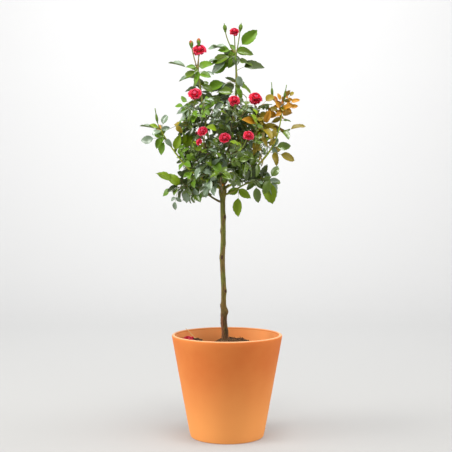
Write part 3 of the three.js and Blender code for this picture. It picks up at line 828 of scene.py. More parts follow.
def trunkShape():
    sides, rings = trunkSizes["sides"], trunkSizes["rings"]
    shape = newShape()
    points = []
    for i in range(rings + 1):
        height = mixed(trunkSizes["foot"], trunkTop, i / rings)
        centre = trunkCentre(height)
        for turn in wholeTurn(sides):
            reach = (trunkReach(height, turn) + barkRelief(height, turn)) * mm
            points.append(centre + Vector((*polar(turn), 0)) * reach)
    addFaces(shape, points, ringFaces(rings + 1, sides))
    for number in range(rings * sides):
        ring, side = divmod(number, sides)
        height = mixed(trunkSizes["foot"], trunkTop, (ring + 0.5) / rings)
        away = fromScar(height, 2 * math.pi * (side + 0.5) / sides)
        away += scarSizes["ragged"] * noise.noise(Vector((side * 0.3, height * 0.5, 0)))
        if away < scarSizes["hollow"]:
            shape["slots"][number] = 2
        elif away < scarSizes["edge"] and side < sides * 0.8:
            shape["slots"][number] = 3
    last = rings * sides
    shape["faces"] += [list(reversed(range(sides))), list(range(last, last + sides))]
    shape["slots"] += [0, 1]
    return shape


barkMesh = meshOf("trunkBark", trunkShape(), finishList("bark", "cutWood", "scar", "scarEdge"))
addPiece("trunkBark", barkMesh, ["trunk"])


# Old cut stubs at the union: where they start, their direction, length and radii.
stubs = [
    ((-9, -3, 664), (0.75, -0.25, 0.6), 19, (4.6, 3.4)),
    ((-13, -2, 667), (-0.05, -0.8, 0.62), 14, (5.0, 4.2)),
    ((-13, 4, 662), (-0.7, 0.5, 0.5), 15, (3.8, 2.9)),
]
stubRings = {"steps": 6, "sides": 14, "uneven": 0.06}
stubShape = newShape()
for start, along, length, ends in stubs:
    steps, uneven = stubRings["steps"], stubRings["uneven"]
    way = Vector(along).normalized()
    rows = [sized(*start) + way * length * mm * i / steps for i in range(steps + 1)]
    radii = [mixed(*ends, i / steps) * mm * (1 + uneven * math.sin(i * 2.3)) for i in range(steps + 1)]
    addTube(stubShape, rows, radii, stubRings["sides"])
    stubShape["slots"][-stubRings["sides"] * steps - 1] = 1  # the cut end
addPiece("cutStubs", meshOf("cutStubs", stubShape, finishList("bark", "cutWood")))
print("trunk made")


# Crown: canes with a bough and a leafy stem each. A place is (bearing, reach from the trunk's head, height),
# and from is where the bough leaves its parent: a height on the trunk or a share of the parent's length.
# Stout is how many times thicker than usual the leafy stem is. A flower is (kind, bearing and reach from the
# stem's tip, rise above it, width, nod, bearing of the nod). A shown leaf is one that stands out of the
# outline: (share of the stem, step from there to the leaf's tip as right, back and up, size of its end
# leaflet, pairs of leaflets, tint, or tint of the pairs and tint of the end leaflet, and for some how much
# the blade stands upright, low for one that lies flat).

usualCane = {
    "parent": "trunk", "radius": 2.6, "stout": 1.0, "leaves": 8, "leafSpan": (0.0, 1.0), "twigs": 5,
    "twigLength": 56, "size": 29, "boughFrom": 0.5, "spread": 132, "tints": ("deep", "mid"), "flowers": [],
    "shown": [],
}
canes = [
    {"name": "tall_centre", "from": 676, "knee": (19, 36, 892), "tip": (17, 35, 1036), "radius": 3.4,
     "stout": 1.35, "leaves": 1, "leafSpan": (0.0, 0.1), "twigs": 0, "size": 34, "tints": ("fresh", "deep"),
     "flowers": [("bloom", 180, 3, 54, 29, 52, 265), ("greenBud", 195, 28, 55, 9, 8, 180),
                 ("greenBud", 340, 15, 57, 9, 8, 20)],
     "shown": [
         (0.98, (58, -14, 56), 47, 1, "fresh", 0.45), (0.97, (43, -20, 4), 36, 0, "mid", 0.9),
         (0.96, (-80, 10, 30), 30, 0, "waxy", 0.8), (0.98, (-47, -12, 9), 28, 1, "fresh"),
         (0.90, (-67, -20, -14), 44, 1, "fresh mid"), (0.88, (-70, -26, -34), 42, 0, "waxy", 0.8),
         (0.86, (-62, -18, -36), 38, 0, "fresh", 1.2), (0.92, (-81, -10, -17), 28, 0, "waxy", 0.2),
         (0.90, (-32, -16, -25), 34, 1, "deep mid"), (0.80, (38, -12, 8), 33, 0, "mid", 0.6),
         (0.62, (72, -16, 36), 49, 0, "waxy deep", 1.3), (0.60, (13, -24, -38), 28, 0, "waxy"),
         (0.38, (43, -16, -9), 30, 1, "mid"), (0.38, (15, -22, -37), 26, 0, "fresh"),
         (0.42, (-81, -24, -12), 41, 0, "fresh", 1.4), (0.46, (-72, -20, -24), 40, 0, "waxy", 0.5),
         (0.36, (-51, -30, -30), 45, 0, "deep", 1.2), (0.20, (-80, -20, -20), 36, 1, "deep mid"),
         (0.15, (-62, -26, -24), 30, 1, "waxy"), (0.22, (-46, -30, 6), 38, 0, "mid", 1.2),
         (0.92, (-26, 46, -10), 34, 1, "mid fresh"), (0.40, (-30, 44, -8), 36, 1, "mid fresh"),
         (0.96, (-61, 12, 27), 38, 0, "waxy", 0.3),
     ]},
    {"name": "tall_left", "from": 674, "knee": (186, 50, 868), "tip": (190, 68, 990), "radius": 3.2,
     "stout": 1.25, "leaves": 1, "leafSpan": (0.0, 0.1), "twigs": 0, "size": 34, "tints": ("fresh", "deep"),
     "flowers": [("bloom", 350, 6, 50, 40, 52, 275), ("redBud", 188, 16, 56, 10, 10, 190),
                 ("redBud", 20, 4, 62, 9, 6, 90)],
     "shown": [
         (0.97, (22, -32, 12), 32, 0, "fresh", 1.0), (0.88, (-76, -8, 34), 40, 0, "waxy", 0.35),
         (0.90, (-38, -18, -8), 33, 1, "fresh mid"), (0.85, (24, -22, -7), 31, 0, "mid fresh", 0.4),
         (0.88, (43, -10, -2), 20, 0, "waxy", 0.1), (0.50, (-40, -10, 8), 31, 1, "deep"),
         (0.96, (-18, -16, 10), 20, 1, "mid fresh"), (0.75, (-6, 44, -6), 32, 1, "mid fresh"),
         (0.45, (8, 46, -10), 34, 1, "mid fresh"), (0.22, (-44, -20, -4), 33, 1, "deep mid"),
         (0.80, (-54, -14, -8), 30, 1, "fresh waxy", 0.4), (0.60, (34, -18, -8), 28, 1, "mid", 0.8),
     ]},
    {"name": "left_long", "from": 664, "knee": (199, 104, 728), "tip": (197, 170, 820), "radius": 3.2,
     "leaves": 2, "leafSpan": (0.0, 0.2), "twigs": 1, "twigLength": 40, "size": 27,
     "tints": ("fresh", "waxy"), "flowers": [("spike", 190, 9, 24, 6, 10, 170)],
     "shown": [
         (0.98, (-54, -10, 18), 33, 2, "waxy", 0.3), (0.96, (10, 6, 50), 27, 1, "waxy"),
         (1.00, (-20, -8, 14), 23, 1, "amber bright"), (0.92, (76, -16, 36), 26, 1, "bronze"),
         (0.80, (-66, -12, -8), 31, 2, "fresh waxy"), (0.76, (-24, -10, -40), 31, 1, "waxy fresh"),
         (0.40, (10, -26, 34), 34, 0, "bright"), (0.15, (26, -16, 76), 40, 0, "bright"),
         (0.85, (-30, 34, 20), 28, 2, "mid fresh"), (0.12, (8, -30, 74), 30, 0, "bright", 0.4),
     ]},
    {"name": "right_long", "from": 665, "knee": (9, 122, 758), "tip": (10, 162, 886), "radius": 3.4,
     "leaves": 2, "leafSpan": (0.0, 0.2), "twigs": 0, "size": 27, "boughFrom": 0.7,
     "tints": ("bronze", "mid"),
     "flowers": [("spike", 190, 26, 34, 6, 4, 180), ("spike", 10, 8, 28, 6, 10, 20)],
     "shown": [
         (0.97, (46, -10, 30), 21, 2, "amber"), (0.94, (-24, -6, 44), 22, 1, "amber rust"),
         (0.90, (-34, -16, 14), 24, 1, "amber bronze"), (0.99, (18, 8, 50), 20, 1, "rust amber"),
         (0.93, (16, -22, 16), 20, 1, "amber"), (0.78, (-42, -14, 20), 30, 1, "bronze amber"),
         (0.98, (26, -20, 8), 19, 1, "bronze amber"), (0.72, (20, -8, 8), 18, 0, "mid"),
         (1.00, (34, -4, 46), 17, 1, "amber bronze"), (0.99, (-8, -14, 38), 17, 1, "rust amber"),
         (0.95, (42, -16, 12), 18, 1, "amber"), (0.92, (-12, -24, 22), 19, 1, "amber"),
         (0.48, (73, -8, 22), 34, 1, "mid bronze", 0.2), (0.50, (-56, -28, 18), 34, 1, "bronze"),
         (0.36, (-48, -32, -2), 30, 1, "bronze bright"), (0.06, (76, -8, -14), 38, 1, "bronze"),
         (0.16, (50, -16, 10), 33, 1, "waxy mid"), (0.85, (10, 40, 14), 24, 2, "amber rust"),
         (0.60, (-6, 44, 6), 32, 1, "bronze mid"),
     ]},
    {"name": "back_long", "spread": 205, "from": 672, "knee": (84, 92, 726), "tip": (84, 170, 790),
     "radius": 3.2, "leaves": 9, "twigs": 3, "tints": ("mid", "fresh"),
     "flowers": [("spike", 80, 14, 44, 6, 10, 90)]},
    {"name": "low_left", "from": 628, "knee": (184, 44, 656), "tip": (188, 122, 668), "radius": 3.0,
     "leaves": 6, "size": 30, "tints": ("deep", "mid"),
     "shown": [
         (0.96, (-52, -16, 50), 39, 1, "deep bright"), (0.85, (-26, -30, 32), 35, 0, "bright"),
         (0.98, (-50, -6, -6), 29, 1, "mid fresh"), (0.95, (-16, -8, -62), 21, 1, "waxy"),
         (0.65, (-14, -14, -44), 34, 1, "mid waxy"), (0.35, (8, -10, -40), 30, 1, "mid fresh"),
         (0.50, (-18, 40, -30), 32, 1, "mid fresh"),
     ]},
    {"name": "low_right", "from": 648, "knee": (345, 42, 666), "tip": (354, 128, 688), "radius": 3.1,
     "leaves": 5, "twigs": 3, "size": 31, "tints": ("mid", "deep"),
     "shown": [
         (0.04, (-6, -18, -78), 44, 1, "bright"), (0.55, (10, -14, -58), 36, 1, "mid", 1.1),
         (0.90, (16, -18, -54), 50, 0, "bright"), (0.98, (24, -8, -36), 44, 1, "mid waxy"),
         (0.96, (26, -6, 40), 30, 1, "waxy mid"), (0.70, (14, 44, -40), 40, 1, "mid fresh"),
         (0.45, (12, -26, 36), 34, 1, "deep"), (0.75, (4, -24, 38), 31, 1, "mid deep"),
         (0.55, (-4, 34, 36), 34, 1, "deep mid"),
     ]},
    {"name": "front_left", "from": 670, "knee": (238, 36, 706), "tip": (243, 108, 772),
     "flowers": [("bloom", 251, 10, 42, 31, 62, 250), ("bloom", 212, 17, 15, 20, 66, 225)],
     # Flat leaves in the painted sheen tint, which show as pale streaks of painted glint in front of the
     # blooms.
     "shown": [
         (0.60, (-20, -28, -8), 30, 1, "waxy", 0.2), (0.45, (18, -34, -2), 30, 1, "waxy", 0.15),
         (0.90, (26, -22, -4), 30, 1, "mid waxy", 0.2),
     ]},
    {"name": "front_right", "from": 670, "knee": (302, 36, 704), "tip": (299, 106, 768),
     "flowers": [("bloom", 330, 20, 37, 31, 60, 285), ("bloom", 189, 47, 29, 33, 66, 262)],
     # Flat leaves in the painted sheen tint, which show as pale streaks of painted glint in front of the
     # blooms.
     "shown": [
         (0.55, (10, -36, -4), 32, 1, "waxy", 0.15), (0.70, (-28, -26, -6), 30, 1, "waxy", 0.2),
         (0.40, (36, -22, 0), 30, 1, "waxy", 0.2), (0.80, (34, -24, -8), 31, 1, "waxy mid", 0.2),
     ]},
    {"name": "low_front", "from": 655, "knee": (266, 54, 674), "tip": (268, 128, 704), "radius": 3.0,
     "size": 28, "tints": ("deep", "mid"),
     "shown": [
         (0.15, (26, -30, 50), 36, 1, "deep mid"), (0.35, (-26, -20, 44), 34, 1, "mid waxy"),
         (0.60, (30, -14, 30), 34, 1, "deep"), (0.80, (-14, -10, 40), 32, 1, "mid fresh"),
         (0.30, (8, -16, 62), 34, 1, "deep waxy"), (0.98, (-8, -41, 4), 32, 1, "mid", 0.3),
         (0.94, (24, -32, -8), 30, 1, "deep mid", 0.3),
     ]},
    {"name": "left", "parent": "left_long", "from": 0.42, "knee": (168, 58, 712), "tip": (161, 116, 776),
     "tints": ("deep", "fresh")},
    {"name": "back_left", "from": 660, "knee": (126, 46, 712), "tip": (126, 116, 790),
     "flowers": [("bloom", 130, 6, 28, 30, 50, 125)]},
    {"name": "back_right", "parent": "right_long", "from": 0.2, "knee": (46, 56, 714), "tip": (44, 116, 790),
     "flowers": [("bloom", 50, 6, 28, 33, 50, 50)]},
    {"name": "right_bronze", "parent": "right_long", "from": 0.55, "knee": (338, 86, 742),
     "tip": (338, 118, 830), "tints": ("mid", "bronze"),
     "shown": [
         (0.98, (-42, -58, 22), 38, 1, "bronze amber"), (0.90, (-30, -58, 2), 36, 1, "bronze bright"),
         (0.98, (10, -34, 34), 30, 1, "bronze amber"), (0.70, (-16, -50, -26), 34, 1, "bronze"),
         (0.90, (22, -34, -2), 32, 1, "bright bronze"),
     ]},
    {"name": "upper_left", "parent": "tall_left", "from": 0.36, "knee": (214, 58, 786), "tip": (206, 84, 884),
     "tints": ("deep", "fresh"), "flowers": [("bloom", 0, 2, 34, 41, 56, 262)],
     "shown": [(0.92, (-50, -10, 8), 38, 2, "waxy"), (0.80, (-44, -16, -10), 34, 1, "mid waxy")]},
    {"name": "upper_right", "parent": "tall_centre", "from": 0.36, "knee": (354, 58, 782),
     "tip": (352, 88, 872), "tints": ("deep", "bronze"), "flowers": [("bloom", 0, 2, 40, 41, 56, 280)],
     "shown": [
         (0.98, (52, 10, 54), 29, 1, "amber bronze"), (0.80, (44, -14, 12), 34, 1, "fresh bronze"),
     ]},
    {"name": "upper_front", "parent": "tall_centre", "from": 0.24, "knee": (290, 48, 766),
     "tip": (296, 62, 864), "tints": ("deep", "mid"), "flowers": [("bloom", 330, 4, 36, 34, 58, 272)]},
    {"name": "upper_back", "parent": "tall_left", "from": 0.4, "knee": (98, 40, 790), "tip": (92, 62, 888),
     "flowers": [("redBud", 40, 20, 34, 10, 14, 60), ("redBud", 120, 6, 38, 9, 10, 120)]},
]
canes = [usualCane | cane for cane in canes]

limbSizes = {
    "boughTip": 0.78, "elbowOut": 0.62, "elbowUp": 0.36, "stemTip": 0.52, "bendAt": 0.45, "twigThick": 0.52,
    "twigTip": 0.42, "node": 0.35, "nodeSpace": 26.0, "nodeSharp": 8, "twigNodes": 4, "sides": (12, 9, 7),
    "twigFrom": 0.04, "twigSpan": 0.78, "green": 3.0,
}
leafSizes = {
    "usual": 34.0, "petiole": 14.0, "pairSpace": 17.0, "lowDroop": 1.1, "highDroop": -0.1, "stalk": 0.6,
    "pairAngle": 60.0, "clear": 1.5, "slack": 9.0, "endShare": 1.1, "pairShare": 1.0, "pairStep": 0.13,
    "wide": (0.86, 1.14), "twigLeaves": 6, "twigSize": 0.9, "shownShare": 1.09, "boughSpace": 17.0,
    "boughSize": 0.92, "boughEnd": 0.98, "stand": 0.97, "pastBox": 1.0, "skirt": (634.0, 682.0),
    "skirtSpan": (-70.0, -15.0), "youngFrom": 0.8, "youngSize": 0.84, "twoPairs": 0.42, "shortest": 7,
    "frontTo": 30.0,
}
thornSizes = {"space": 11.0, "stemSpace": 15.0, "stemTip": 0.6, "small": 2.6, "large": 4.6, "sunk": 0.85}
flowerSizes = {
    "guard": 95.0, "guardSpare": 7.0, "guardFrom": 0.2, "guardFlat": 0.3, "stalk": 1.5, "spikeStalk": 0.75,
    "stalkFrom": 0.99, "stalkStep": 0.07, "stalkBend": 0.45, "seatDepth": 0.22,
}
# An opening in front of the union, where no leaf hangs
unionGap = {"at": (-10, -14, 669), "way": (2, -150, 0), "radius": 17}
triedTurns = (0, 50, -50, 100, -100, 150, -150)


def placeOf(spot):
    bearing, reach, height = spot
    x, y = polar(math.radians(bearing), reach)
    return sized(headX + x, y, height)


def outward(bearing, along):
    return sheer(Vector((*polar(math.radians(bearing)), 0.35)), along)


# A cane first leans out and then turns up, more so the further out it reaches.
def growCanes():
    made = {}
    for cane in canes:
        parent = made.get(cane["parent"])
        start = pointAt(parent["bough"], cane["from"]) if parent else trunkCentre(cane["from"])
        knee, tip = placeOf(cane["knee"]), placeOf(cane["tip"])
        step = knee - start
        out, rise = limbSizes["elbowOut"], limbSizes["elbowUp"]
        elbow = start + Vector((step.x * out, step.y * out, step.z * rise))
        heading = (knee - elbow).normalized()
        bend = knee + heading * (tip - knee).length * limbSizes["bendAt"]
        bough, stem = curveThrough(start, elbow, knee), curveThrough(knee, bend, tip)
        made[cane["name"]] = {"bough": bough, "stem": stem}
    return made


curves = growCanes()


# Straight steps of every limb and stem, for distances
def stepArrays(lines, every=3):
    places = [(line["points"], i) for line in lines for i in range(0, len(line["points"]) - every, every)]
    starts = np.array([points[i] for points, i in places])
    return starts, np.array([points[i + every] for points, i in places]) - starts


def distances(point, starts, spans):
    away = np.array(point) - starts
    shares = np.clip((away * spans).sum(1) / np.maximum((spans * spans).sum(1), 1e-12), 0, 1)
    return np.linalg.norm(away - spans * shares[:, None], axis=1)


stemSteps, boughSteps = (
    stepArrays([curves[cane["name"]][part] for cane in canes]) for part in ("stem", "bough")
)
stepCount = len(boughSteps[0]) // len(canes)
boughRadii = np.repeat([cane["radius"] * mm for cane in canes], stepCount)


# Flowers are placed first, because leaves keep out of them and out of the way that they face.
def placeFlower(index, cane, k, flower):
    kind, bearing, reach, rise, wide, nod, towards = flower
    stem = curves[cane["name"]]["stem"]
    root = pointAt(stem, flowerSizes["stalkFrom"] - flowerSizes["stalkStep"] * k)
    turn, heading, lean = (math.radians(v) for v in (bearing, towards, nod))
    middle = pointAt(stem, 1) + sized(*polar(turn, reach), rise)
    axis = up * math.cos(lean) + Vector((*polar(heading), 0)) * math.sin(lean)
    seat = middle - axis * wide * flowerSizes["seatDepth"] * mm
    bend = seat - axis * (seat - root).length * flowerSizes["stalkBend"]
    return {"kind": kind, "middle": middle, "axis": axis, "seat": seat, "wide": wide * mm,
            "stalk": curveThrough(root, bend, seat, count=12), "spin": 6.28 * chance(index, k, 300)}


# The way that a bloom faces, nearly level
def wayOf(flower):
    x, y, z = flower["axis"]
    return Vector((x, y, z * flowerSizes["guardFlat"])).normalized()


flowers = [
    placeFlower(i, cane, k, one) for i, cane in enumerate(canes) for k, one in enumerate(cane["flowers"])
]
guards = [one for one in flowers if one["kind"] == "bloom"]
guardStarts = np.array(
    [one["middle"] - one["axis"] * one["wide"] * flowerSizes["guardFrom"] for one in guards]
    + [sized(*unionGap["at"])]
)
guardSpans = np.array([wayOf(one) * flowerSizes["guard"] * mm for one in guards] + [sized(*unionGap["way"])])
guardRadii = np.array(
    [one["wide"] / 2 + flowerSizes["guardSpare"] * mm for one in guards] + [unionGap["radius"] * mm]
)


def nearBloom(point):
    return (distances(point, guardStarts, guardSpans) < guardRadii).any()


# Leaves hang lower on the left of the crown than over the union and on the right.
def skirtAt(x):
    return mixed(*leafSizes["skirt"], smoothed(x / mm, *leafSizes["skirtSpan"])) * mm


# A point is free for a cane when it is not deep in a neighbour's space and is clear of limbs and blooms.
def isFree(index, point):
    if (distances(point, *boughSteps) < boughRadii + leafSizes["clear"] * mm).any():
        return False
    past = leafSizes["pastBox"] * mm
    if not all(low - past < at < high + past for low, at, high in zip(cadBounds[0], point, cadBounds[1])):
        return False
    if math.hypot(point.x - headX * mm, point.y) > canes[index]["spread"] * mm:
        return False
    if point.z < skirtAt(point.x) or nearBloom(point):
        return False
    nearest = distances(point, *stemSteps).reshape(len(canes), stepCount).min(1)
    return nearest[index] < nearest.min() + leafSizes["slack"] * mm


# Leaves: a hanging stalk with pairs of leaflets and one at the end

# Each tint is a colour, a roughness and a specular level. The paintedsheen tint's pale grey-green is a
# painted reflection of the white room on the gloss, and the paintedbacklight tint's yellow-green is painted
# light shining through the blade.
tints = {
    "deep": ("#445420", 0.27, 0.95), "mid": ("#5E7812", 0.32, 0.75), "fresh": ("#608606", 0.46, 0.4),
    "bright": ("#7E9A06", 0.5, 0.35), "waxy": ("#7C9072", 0.34, 0.8), "bronze": ("#8E7C0E", 0.45, 0.4),
    "amber": ("#C48812", 0.45, 0.4), "rust": ("#AE661E", 0.45, 0.4),
}
tintShares = {"second": 0.12, "atTip": 0.5, "bright": 0.97, "waxy": 0.79, "lighter": 0.66}
# Ranges that are drawn from for each leaf. Angles are in degrees.
leafDraws = {
    "lean": (46, 72), "droop": (-0.35, 0.35), "sway": (-0.7, 0.7), "lift": (-0.2, 0.4),
    "endSag": (0.02, 0.12), "pairTurn": (-12, 12), "pairSag": (0.05, 0.35), "pairScale": (0.84, 1.06),
    "pairTilt": (-0.15, 0.35), "shownSway": (-0.3, 0.3), "upright": (0.6, 1.3), "turn": (-18, 18),
    "size": (0.82, 1.15),
}
leafletForms = [
    {"arch": 0.20, "fold": 0.34, "wave": 0.02, "twist": 0.14},
    {"arch": 0.34, "fold": 0.16, "wave": 0.04, "twist": -0.34},
    {"arch": 0.10, "fold": 0.55, "wave": 0.03, "twist": 0.36},
    {"arch": 0.44, "fold": 0.30, "wave": 0.015, "twist": -0.12},
]
leafletPlaces = {name: [] for name in tints}
thornPlaces = []
stalkShape = newShape()
caneShape = newShape()
shootShape = newShape()


# The tint of one leaf: the cane's own, with some of its second tint, more so near the tip, and here and there
# a yellow-green leaf, painted light shining through its blade, and a pale grey-green one, a painted sheen of
# the white room on its gloss.
def leafTint(cane, share, keys):
    first, second = cane["tints"]
    roll = chance(*keys, 60)
    if roll < tintShares["second"] + tintShares["atTip"] * share ** 2:
        return second
    if roll > tintShares["bright"]:
        return "bright"
    if roll > tintShares["waxy"]:
        return "waxy"
    return "mid" if first == "deep" and roll > tintShares["lighter"] else first


def addLeaflet(tint, root, along, facing, long, keys, kind=None):
    along = along.normalized()
    if any(nearBloom(root + along * long * part * mm) for part in (0.4, 0.95)):
        return
    wide = long * between(*leafSizes["wide"], *keys, 11)
    leafletPlaces[tint].append({
        "at": root, "turn": turnFor(along, facing), "size": (long * mm, wide * mm, long * mm),
        "kind": int(len(leafletForms) * chance(*keys, 12)) if kind is None else kind,
    })


# One leaf: a stalk from its root, a leaflet at the end and pairs of leaflets beside it.
def makeLeaf(root, aim, facing, length, size, pairs, tint, endTint, keys, flat=False):
    bend = root + aim * length * 0.55 * mm + facing * length * 0.07 * mm
    end = root + aim * length * mm - facing * length * between(*leafDraws["endSag"], *keys, 7) * mm
    rachis = curveThrough(root, bend, end, count=6)
    thick = [leafSizes["stalk"] * mm * mixed(1.25, 0.7, i / 6) for i in range(7)]
    addTube(stalkShape, rachis["points"], thick, 5)
    heading = headingAt(rachis, 1)
    drop, kind = (-0.12, 2) if flat else (0.16, None)  # a leaf that lies flat has the flattest form
    addLeaflet(endTint, end, heading - facing * drop, facing, size * leafSizes["endShare"], [*keys, 0], kind)
    for pair in range(1, pairs + 1):
        at = max(0.15, 1 - pair * leafSizes["pairSpace"] * (size / leafSizes["usual"]) / length)
        spot = pointAt(rachis, at)
        heading = headingAt(rachis, at)
        side = facing.cross(heading).normalized()
        for hand in (-1, 1):
            off = between(*leafDraws["pairTurn"], *keys, pair, 20 + hand)
            turn = math.radians(leafSizes["pairAngle"] + off)
            sag = between(*leafDraws["pairSag"], *keys, 30 + hand)
            way = heading * math.cos(turn) + side * hand * math.sin(turn) - facing * sag
            scale = leafSizes["pairShare"] - leafSizes["pairStep"] * pair
            scale *= between(*leafDraws["pairScale"], *keys, pair, 40 + hand)
            tilt = facing - side * hand * between(*leafDraws["pairTilt"], *keys, pair, 50 + hand)
            addLeaflet(tint, spot, way, tilt, size * scale, [*keys, pair, 2 + hand])


def growLeaf(index, cane, curve, share, ripe, radius, keys, bearing, size, pairs):
    root, along = pointAt(curve, share), headingAt(curve, share)
    out = outward(bearing, along)
    length = (leafSizes["petiole"] + leafSizes["pairSpace"] * pairs) * (size / leafSizes["usual"])
    lean = math.radians(between(*leafDraws["lean"], *keys, 1))
    droop = mixed(leafSizes["lowDroop"], leafSizes["highDroop"], ripe)
    droop += between(*leafDraws["droop"], *keys, 2)
    aim = (along * math.cos(lean) + out * math.sin(lean) - up * droop).normalized()
    tip = root + aim * (length + size) * mm
    if not (isFree(index, root + aim * length * mm) and isFree(index, tip)):
        return False
    sway = [between(*leafDraws[name], *keys, 3 + n) for n, name in enumerate(("sway", "sway", "lift"))]
    away = Vector((root.x - headX * mm, root.y, 0)).normalized()
    facing = sheer(Vector(sway) + up * 0.5 + out * 0.2 + away * 0.8, aim)
    tint = leafTint(cane, ripe, keys)
    makeLeaf(root - aim * radius * 0.2, aim, facing, length, size, pairs, tint, tint, keys)
    return True


# A shown leaf turns its face out of the crown, away from the trunk and a little up.
def showLeaf(index, stem, k, leaf):
    share, step, size, pairs, tones, *lie = leaf
    tint, endTint = tones.split()[0], tones.split()[-1]
    size *= leafSizes["shownShare"]
    root = pointAt(stem, share)
    step = Vector(step) * mm
    aim = step.normalized()
    length = max(step.length / mm - size * leafSizes["endShare"], leafSizes["shortest"])
    out = Vector((0, 1 if root.y + step.y > leafSizes["frontTo"] * mm else -1, 0))
    keys = [index, k, 400]
    right, lift = (between(*leafDraws["shownSway"], *keys, n) for n in (3, 5))
    sway = Vector((right, 0, lift))
    upright = lie[0] if lie else between(*leafDraws["upright"], *keys, 6)
    facing = sheer(sway + up * 0.5 + out * upright, aim)
    makeLeaf(root, aim, facing, length, size, pairs, tint, endTint, keys, flat=upright < 0.5)


# Puts leaves along a shoot and gives how far along it the last one stands.
def growShoot(index, cane, curve, radius, leaves, size, keys, low=0.0, high=1.0):
    last = 0.0
    for j in range(leaves):
        share = (j + leafSizes["stand"]) / leaves
        at = mixed(low, high, share)
        bearing = 360 * chance(*keys, 90) + j * goldenTurn + between(*leafDraws["turn"], *keys, j, 91)
        young = share > leafSizes["youngFrom"]
        long = size * (leafSizes["youngSize"] if young else between(*leafDraws["size"], *keys, j, 92))
        pairs = 2 if chance(*keys, j, 93) < leafSizes["twoPairs"] else 1
        for turn in triedTurns:
            if growLeaf(index, cane, curve, at, share, radius, [*keys, j, 7], bearing + turn, long, pairs):
                last = at
                break
    return last


# A tube that narrows along a curve, with a slight swelling at each of its nodes.
def tubeAlong(shape, curve, radius, tipRadius, sides, slot, nodes=0):
    last = len(curve["points"]) - 1
    radii = []
    for i in range(last + 1):
        off = (i / last * nodes) % 1 - 0.5
        swell = limbSizes["node"] * math.exp(-(off * limbSizes["nodeSharp"]) ** 2) * mm if nodes else 0.0
        radii.append(mixed(radius, tipRadius, i / last) + swell)
    addTube(shape, curve["points"], radii, sides, slot)


def growThorns(curve, radius, tipRadius, keys, space):
    count = int(curve["length"] / (space * mm))
    for i in range(count):
        share = (i + chance(*keys, i, 70)) / count
        along = headingAt(curve, share)
        out = outward(360 * chance(*keys, i, 71), along)
        size = between(thornSizes["small"], thornSizes["large"], *keys, i, 72) * mm
        spot = pointAt(curve, share) + out * mixed(radius, tipRadius, share) * thornSizes["sunk"]
        thornPlaces.append({"at": spot, "turn": turnFor(out, along), "size": (size,) * 3, "kind": 0})


def twigCurve(index, cane, stem, k):
    share = limbSizes["twigFrom"] + limbSizes["twigSpan"] * (k - 0.5) / cane["twigs"]
    root, along = pointAt(stem, share), headingAt(stem, share)
    length = cane["twigLength"] * between(0.75, 1.15, index, k, 81) * mm
    for turn in triedTurns:
        out = outward(360 * chance(index, k, 80) + k * goldenTurn + turn, along)
        bend = root + out * length * 0.5 + along * length * 0.15
        end = root + out * length * 0.8 + along * length * 0.3 + up * length * 0.25
        curve = curveThrough(root, bend, end, count=10)
        if all(isFree(index, pointAt(curve, at)) for at in (0.4, 0.7, 1)):
            return curve
    return None


def growCane(index, cane):
    bough, stem = curves[cane["name"]]["bough"], curves[cane["name"]]["stem"]
    boughSides, stemSides, twigSides = limbSizes["sides"]
    radius = cane["radius"] * mm
    skin = 2 if "long" in cane["name"] else (0 if radius > limbSizes["green"] * mm else 1)
    knee = radius * limbSizes["boughTip"] * cane["stout"]
    nodes = int(bough["length"] / (limbSizes["nodeSpace"] * mm))
    tubeAlong(caneShape, bough, radius, knee, boughSides, skin, nodes)
    for k, leaf in enumerate(cane["shown"]):
        showLeaf(index, stem, k, leaf)
    last = growShoot(index, cane, stem, knee, cane["leaves"], cane["size"], [index, 0], *cane["leafSpan"])
    last = max([last, 1.0 if cane["flowers"] else 0.0, *(leaf[0] for leaf in cane["shown"])])
    stem = cutAt(stem, last)
    tubeAlong(shootShape, stem, knee, knee * limbSizes["stemTip"], stemSides, skin, cane["leaves"])
    growThorns(bough, radius, knee, [index, 200], thornSizes["space"])
    growThorns(stem, knee, knee * thornSizes["stemTip"], [index, 201], thornSizes["stemSpace"])
    thick = radius * limbSizes["twigThick"]
    size = cane["size"] * leafSizes["twigSize"]
    for k in range(1, cane["twigs"] + 1):
        twig = twigCurve(index, cane, stem, k)
        last = growShoot(index, cane, twig, thick, leafSizes["twigLeaves"], size, [index, k]) if twig else 0
        if last > 0:
            tip = thick * limbSizes["twigTip"]
            tubeAlong(shootShape, cutAt(twig, last), thick, tip, twigSides, skin, limbSizes["twigNodes"])
    bare, end = cane["boughFrom"], leafSizes["boughEnd"]
    count = int(bough["length"] * (1 - bare) / (leafSizes["boughSpace"] * mm))
    size = cane["size"] * leafSizes["boughSize"]
    growShoot(index, cane, bough, radius, count, size, [index, 40], bare, end)


for index, cane in enumerate(canes):
    growCane(index, cane)
print("leaflets", {name: len(places) for name, places in leafletPlaces.items()}, "thorns", len(thornPlaces))


# Leaflet: a thin closed blade one unit long, with a toothed edge, a sunk midrib and a bent tip
bladeSizes = {
    "stations": 12, "half": 0.268, "rootPower": 0.68, "tipPower": 0.92, "peak": 0.336, "tooth": 0.024,
    "lean": 0.03, "quilt": 0.014, "thick": 0.014,
}


# Half width along the blade: widest two fifths of the way up, drawn out to a point.
def bladeHalf(t):
    shape = t ** bladeSizes["rootPower"] * (1 - t) ** bladeSizes["tipPower"]
    return bladeSizes["half"] * shape / bladeSizes["peak"]


